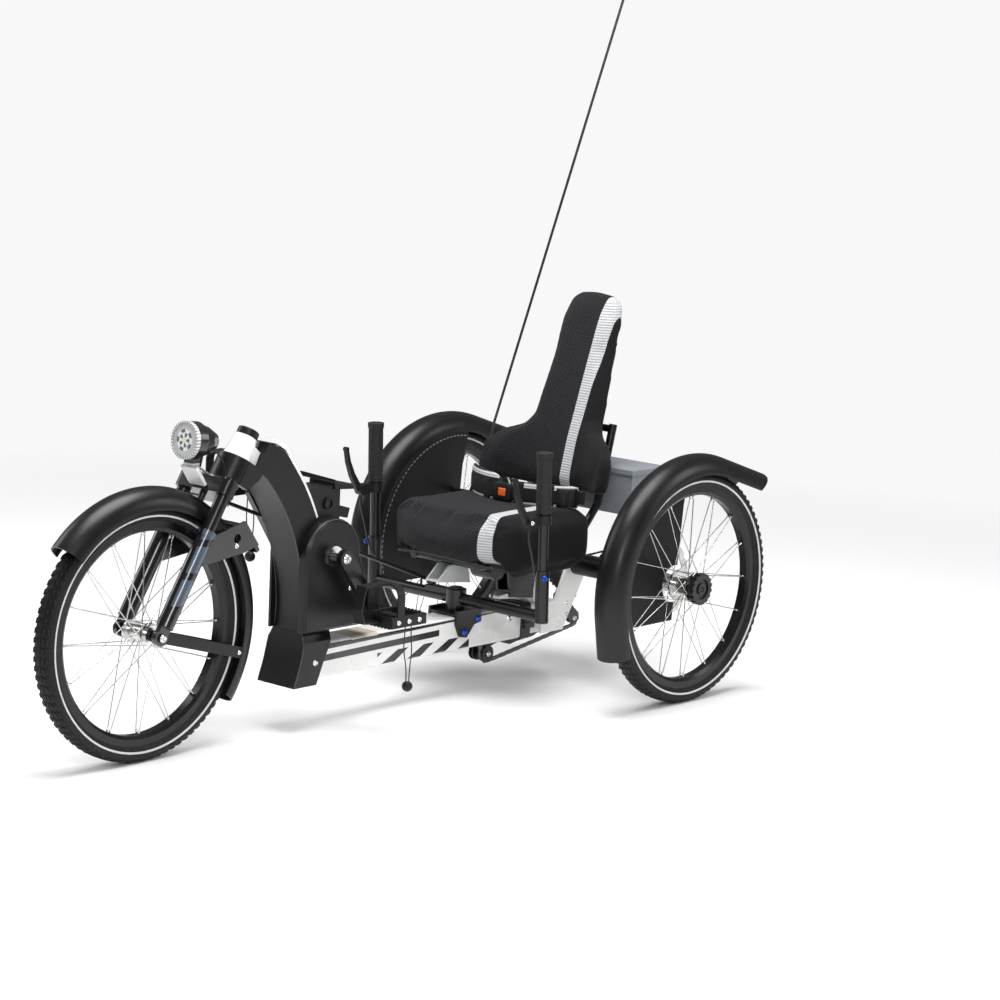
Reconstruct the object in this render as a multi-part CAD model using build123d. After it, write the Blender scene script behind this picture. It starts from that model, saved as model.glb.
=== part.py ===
from build123d import *
import math
import os

# A delta recumbent trike, in millimetres.
# X points forward from the rear axle, Y to the rider's left and Z up from the floor.
# At the end everything is shifted along X, so that the origin is under the middle of the box.

# Clearances
running_gap = 0.05
seat_gap = 0.3

# Wheels
tyre_radius = 250
tyre_width = 47
tyre_depth = 32
tyre_wall = 3
tread_thickness = 7
rim_outer_radius = tyre_radius - tyre_depth
rim_depth = 20
rim_inner_radius = rim_outer_radius - rim_depth
rim_width = 28
rim_wall = 2
rim_lip = 6
wheelbase = 1234
half_track = 355
axle_z = tyre_radius

# Hubs and spokes
spoke_radius = 1.1
spokes_per_side = 16
spoke_lead = 68
spoke_stagger = 2.4
rear_hub_radius = 19
rear_flange_radius = 32
rear_flange_outboard = 20
rear_flange_inboard = 24
rear_stub_radius = 8.5
front_hub_radius = 15
front_flange_radius = 24
front_flange_offset = 24
front_hub_half = 32
front_pin_radius = 5
flange_thickness = 4
hub_cap_radius = 34
hub_cap_out = 42
hub_cap_thickness = 12
hub_cap_notches = 16
hub_cap_notch_radius = 3.2
hub_cap_recess_radius = 22
hub_cap_boss_radius = 12
hub_cap_recess_depth = 4

# Brake rotors
rotor_radius = 90
rotor_inset = 70
rotor_thickness = 2
rotor_band = 17
rotor_waves = 12
rotor_wave_radius = 9
rotor_wave_depth = 4
rotor_holes = 24
rotor_hole_radius = 3
rotor_arms = 6
rotor_arm_width = 8
rotor_arm_slant = 24
rotor_arm_length = 62

# Fenders, each a half tube bent about its axle
fender_radius = tyre_radius + 36
fender_half_width = 38
fender_depth = 42
fender_wall = 3
rear_fender_front_angle = -10
rear_fender_back_angle = 108
fender_flap_length = 80
fender_tail_length = 158
fender_tail_slant = 34
front_fender_radius = tyre_radius + 33
front_fender_front_angle = 42
front_fender_back_angle = 216
fender_post_radius = 7
stay_width = 22
stay_thickness = 4
stay_inner_y = front_hub_half + 1
stay_angle = 195.5

# Swan neck: a curved box tube about the front axle, inside a black shell
neck_front_radius = 397
neck_depth = 69
shell_wall = 3
shell_half_width = 38
spine_half_width = 10
spine_low_angle = 10
spine_rise = 4
spine_rise_angle = 31
collar_radius = 37
neck_top_angle = 47
neck_low_angle = -20
shell_low_angle = -8
neck_foot_x = wheelbase - neck_front_radius

# Steering head: its axis leans back by head_lean, and the fork legs lie ahead of it
head_lean = 31
fork_offset = 43
head_low = neck_front_radius - 59
head_length = 102
head_high = head_low + head_length
head_collar = 47
head_low_radius = 30
head_high_radius = 23
head_cap_height = 16
steerer_radius = 14.3
bearing_width = 2.7
bearing_height = 10

# Fork
crown_height = 30
crown_gap = 8
crown_low = head_low - crown_gap - crown_height
crown_plug_radius = 12
crown_plug_height = 6
leg_spacing = 55
stanchion_radius = 13.5
stanchion_show = 75
slider_radius = 17
slider_length = crown_low - stanchion_show
slider_foot = 22
dropout_radius = 16
dropout_thickness = 12
seal_radius = 19
seal_height = 12
brace_inner = front_fender_radius + 4
brace_thickness = 9
brace_half_width = 50
brace_plate = 6
brace_start_angle = 139
brace_end_angle = 152
brace_hole_radius = 9

# Boot at the foot of the neck
boot_half_width = 52
boot_low = 95
boot_shoulder = 184
boot_neck_half_width = 40

# Crank and its cover
crank_behind_foot = 62
crank_x = neck_foot_x - crank_behind_foot
crank_z = axle_z + 106
cover_radius = 76
cover_left = 60
cover_right = 50
cover_low = 205
cover_foot_back = 135
cover_edge = 6
shell_bracket_radius = 21
spindle_radius = 8
crank_length = 150
crank_angle = 234
crank_arm_inner = 84
crank_arm_thickness = 14
crank_boss_radius = 18
crank_eye_radius = 13

# Pedals
pedal_pin_radius = 6.5
pedal_width = 86
pedal_length = 100
pedal_thickness = 22
pedal_start = crank_arm_inner + crank_arm_thickness + 6
pedal_rail = 9
pedal_bar = 12
pedal_teeth = 7
pedal_tooth = 3
toe_clip_reach = 100
toe_clip_height = 76
toe_clip_width = 26
toe_clip_thickness = 4
toe_strap_width = 20
toe_strap_thickness = 3
toe_strap_x = 14
ball_radius = 11
ball_flat = 9.5
ball_drop = 150
ball_back = 52
cord_radius = 1.25
cord_back = 48.2

# Unit on top of the crank cover
unit_front = crank_x + 47
unit_rear = crank_x - 40
unit_half_width = 32
unit_top = crank_z + 136
unit_ring_radius = 12
unit_tongue = 42

# Main bar, the bar that slides in it, and its clamp
bar_low = 101
bar_height = 74
bar_half_width = 35
bar_rear = 165
bar_wall = 4
bar_corner = 8
bar_bore_end = crank_x - 50
inner_bar_rear = 56
inner_bar_overlap = 30
inner_bar_wall = 3
clamp_length = 30
clamp_wall = 3
clamp_ear_reach = 12
clamp_ear_height = 26
clamp_slit = 2

# Under-seat handlebar
pivot_x = 338
pivot_radius = 8
crossbar_z = 207
crossbar_radius = 12.5
hub_half_height = 20
post_y = 240
post_radius = 11
sleeve_radius = 14.5
sleeve_height = 98
grip_radius = 16
grip_low = 427
grip_high = 553
post_lean_x = 14
stand_plate = 6
stand_half_length = 38
rod_y = -72
rod_tilt = 2.8
rod_radius = 4
rod_eye_radius = 11
rod_pin_radius = 3
rod_eye_play = 4.5
rod_lift = 13
mirror_y_inner = -316
mirror_y_outer = -340
cable_radius = 2.2

# Seat
seat_half_width = 190
seat_front = 430
seat_side_front = 354
seat_rear = 95
seat_top = 385
seat_low = 302
skirt_low = 283
skirt_width = 40
back_low = 400
back_foot_x = 42
back_lean = 13.7
back_thickness = 45
back_edge = 32
back_edge_inset = 12
tube_radius = 9
rail_y = 90
frame_top = 560
belt_thickness = 12
belt_height = 58
belt_half_width = 160
belt_front = 205
belt_rear = 120

# Rear axle, drive and box
axle_housing_radius = 24
axle_housing_end = 262
cheek_y = 42
cheek_thickness = 8
shaft_radius = 10
box_front = -52
box_rear = -150
box_half_width = 150
box_low = 365
box_high = 470
lid_height = 16
lid_edge = 3

# Chain, with its sprockets and guide wheels
chain_pitch = 12.7
link_height = 7
outer_link_width = 6.4
inner_link_width = 4
sprocket_count = 7
largest_sprocket = 62
sprocket_step = 6
sprocket_spacing = 4.8
sprocket_thickness = 2
chain_sprocket = 3
chain_sprocket_radius = 43
guide_chain_radius = 17
upper_guide = (-6, 166)
lower_guide = (-52, 114)
idler_x = 250
idler_z = 76
idler_y = 14
idler_flange = 2.4
idler_approach = 40
guide_core = math.sqrt(guide_chain_radius ** 2 - chain_pitch ** 2 / 4) - link_height / 2 - seat_gap
sprocket_core = math.sqrt(chain_sprocket_radius ** 2 - chain_pitch ** 2 / 4) - link_height / 2 - seat_gap

# Flag pole
pole_root = (-2, -266, 366)
pole_lean = 22
pole_length = 1250
pole_radius = 3
pole_foot_radius = 2.5
holder_length = 40
holder_radius = 9
holder_floor = 4

front_x = wheelbase + tyre_radius
pole_tip_x = pole_root[0] - pole_length * math.sin(math.radians(pole_lean))
rear_x = pole_tip_x - pole_radius * math.cos(math.radians(pole_lean))
origin_x = (front_x + rear_x) / 2


def box(x_low, x_high, y_low, y_high, z_low, z_high):
    """A box between the given limits."""
    size = Box(x_high - x_low, y_high - y_low, z_high - z_low)
    return Pos((x_low + x_high) / 2, (y_low + y_high) / 2, (z_low + z_high) / 2) * size


def rod(start, end, radius):
    """A round rod from one point to another."""
    along = Vector(*end) - Vector(*start)
    return extrude(Plane(origin=start, z_dir=along) * Circle(radius), along.length)


def side_solid(outline, y_low, y_high):
    """Extrude an outline that is drawn in X and Z."""
    plane = Plane(origin=(0, y_high, 0), x_dir=(1, 0, 0), z_dir=(0, -1, 0))
    return extrude(plane * outline, y_high - y_low)


def end_solid(outline, x_low, x_high):
    """Extrude an outline that is drawn in Y and Z."""
    plane = Plane(origin=(x_low, 0, 0), x_dir=(0, 1, 0), z_dir=(1, 0, 0))
    return extrude(plane * outline, x_high - x_low)


def polygon(*points):
    """A face with straight sides."""
    return make_face(Polyline(*points, close=True))


def strap(first, second):
    """A plate outline round two circles, each given as x, z and radius."""
    x_first, z_first, r_first = first
    x_second, z_second, r_second = second
    reach = math.hypot(x_second - x_first, z_second - z_first)
    turn = math.atan2(z_second - z_first, x_second - x_first)
    slant = math.acos((r_first - r_second) / reach)
    corners = []
    for (x, z, r), sign in ((first, 1), (second, 1), (second, -1), (first, -1)):
        angle = turn + sign * slant
        corners.append((x + r * math.cos(angle), z + r * math.sin(angle)))
    ends = Pos(x_first, z_first) * Circle(r_first) + Pos(x_second, z_second) * Circle(r_second)
    return ends + polygon(*corners)


def cross_cylinder(x, z, radius, y_low, y_high):
    """A cylinder along Y."""
    return side_solid(Pos(x, z) * Circle(radius), y_low, y_high)


def ring_of(face, radius, count):
    """The same face several times round a circle."""
    return [Rot(0, 0, index * 360 / count) * Pos(radius, 0) * face for index in range(count)]


def radial_plane(x, z, angle):
    """Plane with Y across and radius up, at an angle from forward, upwards. Its normal points to smaller angles."""
    turn = math.radians(angle)
    return Plane(origin=(x, 0, z), x_dir=(0, 1, 0), z_dir=(math.sin(turn), 0, -math.cos(turn)))


def around_axle(face, x, z, start_angle, end_angle):
    """Turn a section, drawn in Y and radius, about an axle along Y. Angles run from forward, upwards."""
    axis = Axis((x, 0, z), (0, -1, 0))
    return revolve(radial_plane(x, z, start_angle) * face, axis, end_angle - start_angle)


def sector(inner, outer, half_width, start_angle, end_angle):
    """A box section bent about the front axle. Angles are measured from backward, upwards."""
    face = Pos(0, (inner + outer) / 2) * Rectangle(2 * half_width, outer - inner)
    return around_axle(face, wheelbase, axle_z, 180 - end_angle, 180 - start_angle)


def polar(radius, angle, x=wheelbase):
    """A point in X and Z at a radius and an angle from forward about an axle."""
    turn = math.radians(angle)
    return (x + radius * math.cos(turn), axle_z + radius * math.sin(turn))


# Points along the steering head: s up its axis, t forward from it, both square to each other
lean = math.radians(head_lean)
up_axis = Vector(-math.sin(lean), 0, math.cos(lean))
out_axis = Vector(math.cos(lean), 0, math.sin(lean))
head_foot = Vector(wheelbase, 0, axle_z) - out_axis * fork_offset


def head_point(s, t=0, y=0):
    return head_foot + up_axis * s + out_axis * t + Vector(0, y, 0)


def head_plane(s, t=0, y=0):
    return Plane(origin=head_point(s, t, y), x_dir=out_axis, z_dir=up_axis)


def mirrored(shape):
    """The same shape on the other side."""
    return mirror(shape, Plane.XZ)


def both_sides(shape):
    return Compound(children=[Compound(shape.solids()), Compound(mirrored(shape).solids())])


# Wheels

def tyre(x, y, z):
    half = tyre_width / 2
    bead = rim_width / 2 - rim_wall - seat_gap
    seat = rim_outer_radius - rim_lip
    lip = rim_outer_radius + 1
    middle = (tyre_radius + seat) / 2
    outline = make_face(
        Polyline((bead, seat), (bead, lip), (half, middle - 3), (half, middle + 5))
        + ThreePointArc((half, middle + 5), (0, tyre_radius), (-half, middle + 5))
        + Polyline((-half, middle + 5), (-half, middle - 3), (-bead, lip), (-bead, seat), (bead, seat))
    )
    room = Rectangle(2 * (bead - tyre_wall), tyre_radius - seat - 2 * tread_thickness)
    hollow = Pos(0, (seat + tyre_radius) / 2) * room
    ring = around_axle(outline - hollow, x, z, 0, 360)
    return Pos(0, y, 0) * ring


def rim(x, y, z):
    half = rim_width / 2
    inside = half - rim_wall
    floor = rim_outer_radius - rim_lip - seat_gap
    shoulder = rim_inner_radius + rim_depth / 3
    outline = make_face(Polyline(
        (half - 5, rim_inner_radius), (half, shoulder), (half, rim_outer_radius),
        (inside, rim_outer_radius), (inside, floor), (-inside, floor), (-inside, rim_outer_radius),
        (-half, rim_outer_radius), (-half, shoulder), (5 - half, rim_inner_radius), close=True))
    return Pos(0, y, 0) * around_axle(outline, x, z, 0, 360)


def spokes(x, y, z, flanges, flange_radius):
    """Spokes laced in threes across each flange. flanges holds the two flange offsets along Y."""
    wires = []
    hole = flange_radius - 4
    end = rim_inner_radius - seat_gap
    for side, flange in zip((-1, 1), flanges):
        for index in range(spokes_per_side):
            leading = 1 if index % 2 else -1
            start_turn = 2 * math.pi * index / spokes_per_side
            end_turn = start_turn + leading * math.radians(spoke_lead)
            start_y = y + flange + spoke_stagger * leading
            start = (x + hole * math.cos(start_turn), start_y, z + hole * math.sin(start_turn))
            reach = (x + end * math.cos(end_turn), y + side * 4, z + end * math.sin(end_turn))
            wires.append(rod(start, reach, spoke_radius))
    return wires


def rear_hub(side):
    """Hub with its flanges, notched cap and spokes. side is 1 on the left and -1 on the right."""
    y = half_track
    cap_start = y + hub_cap_out - hub_cap_thickness
    cap_end = y + hub_cap_out
    body = cross_cylinder(0, axle_z, rear_hub_radius, y - rotor_inset + rotor_thickness, cap_start)
    for offset in (rear_flange_outboard, -rear_flange_inboard):
        middle = y + offset
        body += cross_cylinder(0, axle_z, rear_flange_radius, middle - flange_thickness / 2, middle + flange_thickness / 2)
    notches = ring_of(Circle(hub_cap_notch_radius), hub_cap_radius, hub_cap_notches)
    body += side_solid(Pos(0, axle_z) * (Circle(hub_cap_radius) - notches), cap_start, cap_end)
    recess = Circle(hub_cap_recess_radius) - Circle(hub_cap_boss_radius)
    body -= side_solid(Pos(0, axle_z) * recess, cap_end - hub_cap_recess_depth, cap_end)
    body -= cross_cylinder(0, axle_z, rear_stub_radius + running_gap, 0, cap_start)
    for wire in spokes(0, y, axle_z, (-rear_flange_inboard, rear_flange_outboard), rear_flange_radius):
        body += wire
    return body if side > 0 else mirrored(body)


def rear_rotor(side):
    """Wavy brake disc with slanted arms."""
    y = half_track - rotor_inset
    inner = rotor_radius - rotor_band
    wave = Circle(rotor_wave_radius)
    face = Circle(rotor_radius) - Circle(inner)
    face -= ring_of(wave, rotor_radius + rotor_wave_radius - rotor_wave_depth, rotor_waves)
    face -= ring_of(Circle(rotor_hole_radius), (rotor_radius - rotor_wave_depth + inner) / 2, rotor_holes)
    arm = Rot(0, 0, rotor_arm_slant) * Pos(rotor_arm_length / 2, 0) * Rectangle(rotor_arm_length, rotor_arm_width)
    for piece in ring_of(arm, rear_hub_radius - 4, rotor_arms):
        face += piece
    face += Circle(rear_hub_radius)
    face -= Circle(rear_stub_radius + running_gap)
    disc = side_solid(Pos(0, axle_z) * face, y, y + rotor_thickness)
    return disc if side > 0 else mirrored(disc)


def front_hub():
    body = cross_cylinder(wheelbase, axle_z, front_hub_radius, -front_hub_half, front_hub_half)
    for offset in (-front_flange_offset, front_flange_offset):
        low = offset - flange_thickness / 2
        body += cross_cylinder(wheelbase, axle_z, front_flange_radius, low, low + flange_thickness)
    body -= cross_cylinder(wheelbase, axle_z, front_pin_radius + running_gap, -front_hub_half, front_hub_half)
    for wire in spokes(wheelbase, 0, axle_z, (-front_flange_offset, front_flange_offset), front_flange_radius):
        body += wire
    return body


# Fenders

def fender_section(radius):
    """A half tube, drawn in Y and radius."""
    half = fender_half_width
    inner = half - fender_wall
    low = radius - fender_depth
    centre = radius - half
    return make_face(
        Line((-half, low), (-half, centre))
        + ThreePointArc((-half, centre), (0, radius), (half, centre))
        + Polyline((half, centre), (half, low), (inner, low), (inner, centre))
        + ThreePointArc((inner, centre), (0, radius - fender_wall), (-inner, centre))
        + Polyline((-inner, centre), (-inner, low), (-half, low))
    )


def rear_fender():
    """Half tube with a straight front flap and a straight tail that ends in a slant."""
    section = fender_section(fender_radius)
    body = around_axle(section, 0, axle_z, rear_fender_front_angle, rear_fender_back_angle)
    body += extrude(radial_plane(0, axle_z, rear_fender_front_angle) * section, fender_flap_length)
    tail_plane = radial_plane(0, axle_z, rear_fender_back_angle)
    body += extrude(tail_plane * section, -fender_tail_length)
    turn = math.radians(rear_fender_back_angle)
    low = fender_radius - fender_depth - 5
    corners = (
        # distance along the tail, radius
        (fender_tail_length - fender_tail_slant, low),
        (fender_tail_length + 1, low),
        (fender_tail_length + 1, fender_radius - 6),
    )
    wedge = [(r * math.cos(turn) - d * math.sin(turn), axle_z + r * math.sin(turn) + d * math.cos(turn)) for d, r in corners]
    body -= side_solid(polygon(*wedge), -fender_half_width - 1, fender_half_width + 1)
    return Pos(0, half_track, 0) * body


def front_fender():
    """Half tube under the crown, held by a flat stay on each side."""
    section = fender_section(front_fender_radius)
    body = around_axle(section, wheelbase, axle_z, front_fender_front_angle, front_fender_back_angle)
    reach = front_fender_radius - fender_half_width
    stay = Circle(stay_width / 2) + Rot(0, 0, stay_angle) * Pos(reach / 2, 0) * Rectangle(reach, stay_width)
    stay -= Circle(front_pin_radius + seat_gap)
    for low_y in (stay_inner_y, -stay_inner_y - stay_thickness):
        body += side_solid(Pos(wheelbase, axle_z) * stay, low_y, low_y + stay_thickness)
    return body


# Fork, which turns in the head

def fork():
    """Steerer, crown, the fender's post and the stanchions that slide in the lower legs."""
    high = crown_low + crown_height
    plan = Pos(fork_offset, 0) * RectangleRounded(38, 2 * leg_spacing + 34, 16)
    plan += Pos(fork_offset / 2, 0) * Rectangle(fork_offset, 44) + Circle(24)
    body = extrude(head_plane(crown_low) * plan, crown_height)
    body += extrude(head_plane(high) * Circle(steerer_radius), head_high - 4 - high)
    post_low = front_fender_radius + seat_gap
    body += extrude(head_plane(post_low, fork_offset) * Circle(fender_post_radius), crown_low - post_low)
    body += extrude(head_plane(crown_low, 0, rod_y / 2) * RectangleRounded(22, -rod_y + 24, 8), 6)
    body += extrude(head_plane(crown_low, 0, rod_y) * Circle(rod_pin_radius), 22)
    for y in (-leg_spacing, leg_spacing):
        body += extrude(head_plane(slider_length, fork_offset, y) * Circle(stanchion_radius), crown_low - slider_length)
        body += extrude(head_plane(high, fork_offset, y) * Circle(crown_plug_radius), crown_plug_height)
    return body


def brace_outline():
    """Side plate of the brace, behind the leg and over the fender."""
    corners = (
        # radius and angle about the front axle
        (150, 121), (150, 126), (262, 148), (brace_inner + 12, 150), (brace_inner + 12, 138), (200, 121),
    )
    return polygon(*[polar(radius, angle) for radius, angle in corners])


def fork_sliders():
    """Lower legs with seals, drop-outs, the pin that carries the wheel and a brace behind the fender."""
    pin_end = leg_spacing + dropout_thickness / 2 + 4
    body = cross_cylinder(wheelbase, axle_z, front_pin_radius, -pin_end, pin_end)
    plate = Pos(wheelbase, axle_z) * Circle(dropout_radius)
    reach = slider_foot + dropout_radius
    leg_turn = Pos(wheelbase, axle_z) * Rot(0, 0, 90 + head_lean)
    plate += leg_turn * Pos(reach / 2, 0) * Rectangle(reach, 1.6 * dropout_radius)
    hole_x, hole_z = polar(262, 140)
    wing = brace_outline() - Pos(hole_x, hole_z) * Circle(brace_hole_radius)
    for side in (-1, 1):
        y = side * leg_spacing
        body += extrude(head_plane(slider_foot, fork_offset, y) * Circle(slider_radius),
                        slider_length - slider_foot - seat_gap)
        seal_low = slider_length - seal_height
        body += extrude(head_plane(seal_low, fork_offset, y) * Circle(seal_radius), seal_height - seat_gap)
        body += side_solid(plate, y - dropout_thickness / 2, y + dropout_thickness / 2)
        body += cross_cylinder(wheelbase, axle_z, 9, min(side * pin_end, side * (pin_end - 4)),
                               max(side * pin_end, side * (pin_end - 4)))
        edge = side * brace_half_width
        body += side_solid(wing, min(edge, edge - side * brace_plate), max(edge, edge - side * brace_plate))
    body += sector(brace_inner, brace_inner + brace_thickness, brace_half_width,
                   180 - brace_end_angle, 180 - brace_start_angle)
    return body


# Frame

def neck():
    """White box tube with the steering head, bored for the steerer."""
    inner = neck_front_radius + shell_wall + seat_gap
    outer = neck_front_radius + neck_depth
    tube_half = shell_half_width - shell_wall - seat_gap
    body = sector(inner, outer - shell_wall, tube_half, neck_low_angle, neck_top_angle)
    body += sector(inner + 10, outer, spine_half_width, spine_low_angle, neck_top_angle)
    body += sector(outer - 2, outer + spine_rise, spine_half_width, spine_rise_angle, neck_top_angle)
    body += sector(inner, outer - 36, head_low_radius - 6, neck_top_angle - 4, neck_top_angle + 7)
    body += extrude(head_plane(head_low) * Circle(head_low_radius - 4), head_length - head_collar)
    cone_face = polygon((0, 0), (head_low_radius, 0), (head_high_radius, head_collar), (0, head_collar))
    cone_plane = Plane(origin=head_point(head_high - head_collar), x_dir=out_axis, z_dir=out_axis.cross(up_axis))
    body += revolve(cone_plane * cone_face, Axis(tuple(head_point(0)), tuple(up_axis)), 360)
    body -= extrude(head_plane(head_low - 60) * Circle(steerer_radius + bearing_width), head_length + 60)
    body -= extrude(head_plane(head_low - 80) * Circle(60), 80)
    body -= cross_cylinder(crank_x, crank_z, shell_bracket_radius, -cover_left, cover_left)
    body -= box(neck_foot_x - 400, wheelbase, -60, 60, 0, bar_low)
    return body


def headset():
    """Two bearing rings between the head and the steerer."""
    rings = []
    for s in (head_low, head_high - bearing_height - 2):
        ring = Circle(steerer_radius + bearing_width) - Circle(steerer_radius + running_gap)
        rings.append(extrude(head_plane(s) * ring, bearing_height))
    return Compound(children=[Compound(ring.solids()) for ring in rings])


def head_cap():
    cap = extrude(head_plane(head_high) * Circle(head_high_radius - 1), head_cap_height)
    along = Axis(tuple(head_point(0)), tuple(up_axis))
    return fillet(cap.edges().filter_by(GeomType.CIRCLE).sort_by(along)[-1], 3)


def neck_shell():
    """Black cover on the neck, open along its spine, with a collar round the foot of the head."""
    inner = neck_front_radius
    outer = neck_front_radius + neck_depth
    low = shell_low_angle
    collar_low = head_low + 4
    collar_high = head_high - head_collar - 1
    cheek = (
        # up the head's axis, back from it
        (collar_low, 0), (collar_low, 26), (collar_low + 42, 50), (head_high + 13, 63), (head_high + 6, 27),
        (collar_high, 31), (collar_high, 0),
    )
    corners = [head_point(up, -back) for up, back in cheek]
    body = sector(inner, outer - 0.5, shell_half_width, low, neck_top_angle - 1)
    body -= sector(inner + shell_wall, outer - shell_wall + seat_gap, shell_half_width - shell_wall,
                   low, neck_top_angle + 1)
    top = side_solid(polygon(*[(corner.X, corner.Z) for corner in corners]), -shell_half_width, shell_half_width)
    top -= sector(inner - 20, outer, shell_half_width + 1, 20, neck_top_angle - 1)
    top += extrude(head_plane(collar_low) * Circle(collar_radius), collar_high - collar_low)
    top -= sector(inner + shell_wall, outer + 1, shell_half_width - shell_wall, 20, neck_top_angle + seat_gap)
    top -= sector(inner - 60, outer - 36 + seat_gap, head_low_radius - 6 + seat_gap, neck_top_angle - 4,
                  neck_top_angle + 9)
    body += top
    body -= sector(outer - 20, outer + spine_rise + 2, spine_half_width + seat_gap, low, neck_top_angle + seat_gap)
    body -= extrude(head_plane(head_low) * Circle(head_low_radius - 4 + seat_gap), head_length - head_collar)
    body -= extrude(head_plane(collar_high) * Circle(head_low_radius + seat_gap), head_collar + 20)
    body -= cross_cylinder(crank_x, crank_z, shell_bracket_radius, -cover_left, cover_left)
    body -= box(neck_foot_x - 200, wheelbase, -60, 60, 0, cover_low)
    return body


def boot():
    """Flared foot of the shell, round the front end of the main bar."""
    top = cover_low - seat_gap
    front = neck_foot_x + 63
    outline = polygon((front, boot_low), (neck_foot_x - 32, boot_low), (neck_foot_x - 50, boot_low + 43),
                      (neck_foot_x - 67, boot_low + 79), (neck_foot_x - 75, top), (front, top))
    across = polygon((-boot_half_width, boot_low), (boot_half_width, boot_low), (boot_half_width, boot_shoulder),
                     (boot_neck_half_width, top), (-boot_neck_half_width, top), (-boot_half_width, boot_shoulder))
    body = side_solid(outline, -boot_half_width, boot_half_width)
    body &= end_solid(across, neck_foot_x - 100, front)
    body -= cross_cylinder(wheelbase, axle_z, neck_front_radius, -boot_half_width, boot_half_width)
    body -= sector(neck_front_radius + shell_wall, neck_front_radius + neck_depth - shell_wall + seat_gap,
                   shell_half_width - shell_wall, neck_low_angle - 10, 10)
    body -= box(neck_foot_x - 240, neck_foot_x + 3 + seat_gap, -bar_half_width - seat_gap, bar_half_width + seat_gap,
                bar_low - seat_gap, bar_low + bar_height + seat_gap)
    return body


def crank_cover():
    """Housing round the bottom bracket, with a round top, a flared foot and bevelled edges."""
    front = crank_x + cover_radius
    rear = crank_x - cover_radius
    top = Pos(crank_x, crank_z) * Circle(cover_radius)
    foot = polygon((front, crank_z), (front, cover_low), (crank_x - cover_foot_back, cover_low),
                   (rear, crank_z - 10), (rear, crank_z))
    body = side_solid(top + foot, -cover_right, cover_left)
    rims = body.edges().filter_by(lambda edge: abs(edge.center().Y) > cover_right - 1)
    rims = rims.filter_by(lambda edge: edge.bounding_box().size.Y < 1)
    body = chamfer(rims, cover_edge)
    outer = neck_front_radius + neck_depth
    body -= sector(neck_front_radius - 40, outer + seat_gap, shell_half_width + seat_gap, -25, 40)
    body -= cross_cylinder(crank_x, crank_z, shell_bracket_radius, -cover_right, cover_left)
    return body


def bottom_bracket():
    ring = Circle(shell_bracket_radius) - Circle(spindle_radius + running_gap)
    return side_solid(Pos(crank_x, crank_z) * ring, -cover_right - 3, cover_left + 4)


def switch_box():
    """Dark unit with a hood, a dial ring and a rear tongue, saddled on top of the crank cover."""
    low = crank_z + 59
    body = box(unit_rear, unit_front, -unit_half_width, unit_half_width, low, unit_top)
    hood = polygon((unit_rear + 20, unit_top - 6), (unit_rear + 20, unit_top + 8), (unit_rear - 34, unit_top - 4),
                   (unit_rear - 34, unit_top - 10))
    body += side_solid(hood, -unit_half_width - 4, unit_half_width + 4)
    tongue = polygon((unit_rear + 1, low + 13), (unit_rear + 1, low + 37), (unit_rear - unit_tongue, low + 25),
                     (unit_rear - unit_tongue + 6, low + 5))
    body += side_solid(tongue, -unit_half_width + 12, unit_half_width - 12)
    body += cross_cylinder(unit_rear + 35, low + 43, unit_ring_radius, unit_half_width - 1, unit_half_width + 5)
    body -= cross_cylinder(unit_rear + 35, low + 43, unit_ring_radius - 3, unit_half_width + 2, unit_half_width + 5)
    body -= cross_cylinder(crank_x, crank_z, cover_radius + seat_gap, -unit_half_width - 9, unit_half_width + 9)
    reach = neck_front_radius + neck_depth + spine_rise + seat_gap
    body -= cross_cylinder(wheelbase, axle_z, reach, -unit_half_width - 9, unit_half_width + 9)
    return body


def bar_section(width, height, corner):
    return Pos(0, bar_low + bar_height / 2) * RectangleRounded(width, height, corner)


def main_bar():
    """White bar, hollow behind the neck for the chain and the sliding bar."""
    outer = bar_section(2 * bar_half_width, bar_height, bar_corner)
    bore = bar_section(2 * (bar_half_width - bar_wall), bar_height - 2 * bar_wall, bar_corner - 3)
    body = end_solid(outer, bar_rear, neck_foot_x + 3) - end_solid(bore, bar_rear, bar_bore_end)
    inner = neck_front_radius + shell_wall + seat_gap
    body -= sector(inner - 60, neck_front_radius + neck_depth - shell_wall, shell_half_width + 5, -30, 20)
    body -= box(idler_x - 30, idler_x + 30, -26, 26, bar_low - 5, bar_low + bar_wall + 1)
    return body


def inner_bar():
    """Hollow white bar that slides in the main bar to fit the rider's legs."""
    width = 2 * (bar_half_width - bar_wall - seat_gap)
    height = bar_height - 2 * bar_wall - 2 * seat_gap
    outer = bar_section(width, height, bar_corner - 3)
    bore = bar_section(width - 2 * inner_bar_wall, height - 2 * inner_bar_wall, bar_corner - 6)
    return end_solid(outer - bore, inner_bar_rear, bar_rear + inner_bar_overlap)


def bar_clamp():
    """Collar that holds the sliding bar, slit between two ears on the left."""
    front = bar_rear - seat_gap
    rear = bar_rear - clamp_length
    outer = bar_section(2 * (bar_half_width + clamp_wall), bar_height + 2 * clamp_wall, bar_corner)
    hole = bar_section(2 * (bar_half_width - bar_wall), bar_height - 2 * bar_wall, bar_corner - 3)
    side = bar_half_width + clamp_wall
    middle = bar_low + bar_height / 2
    body = end_solid(outer, rear, front)
    body += box(rear, front, side - 1, side + clamp_ear_reach, middle - clamp_ear_height / 2, middle + clamp_ear_height / 2)
    body -= end_solid(hole, rear, front)
    body -= box(rear, front, 0, side + clamp_ear_reach, middle - clamp_slit / 2, middle + clamp_slit / 2)
    return body


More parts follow.
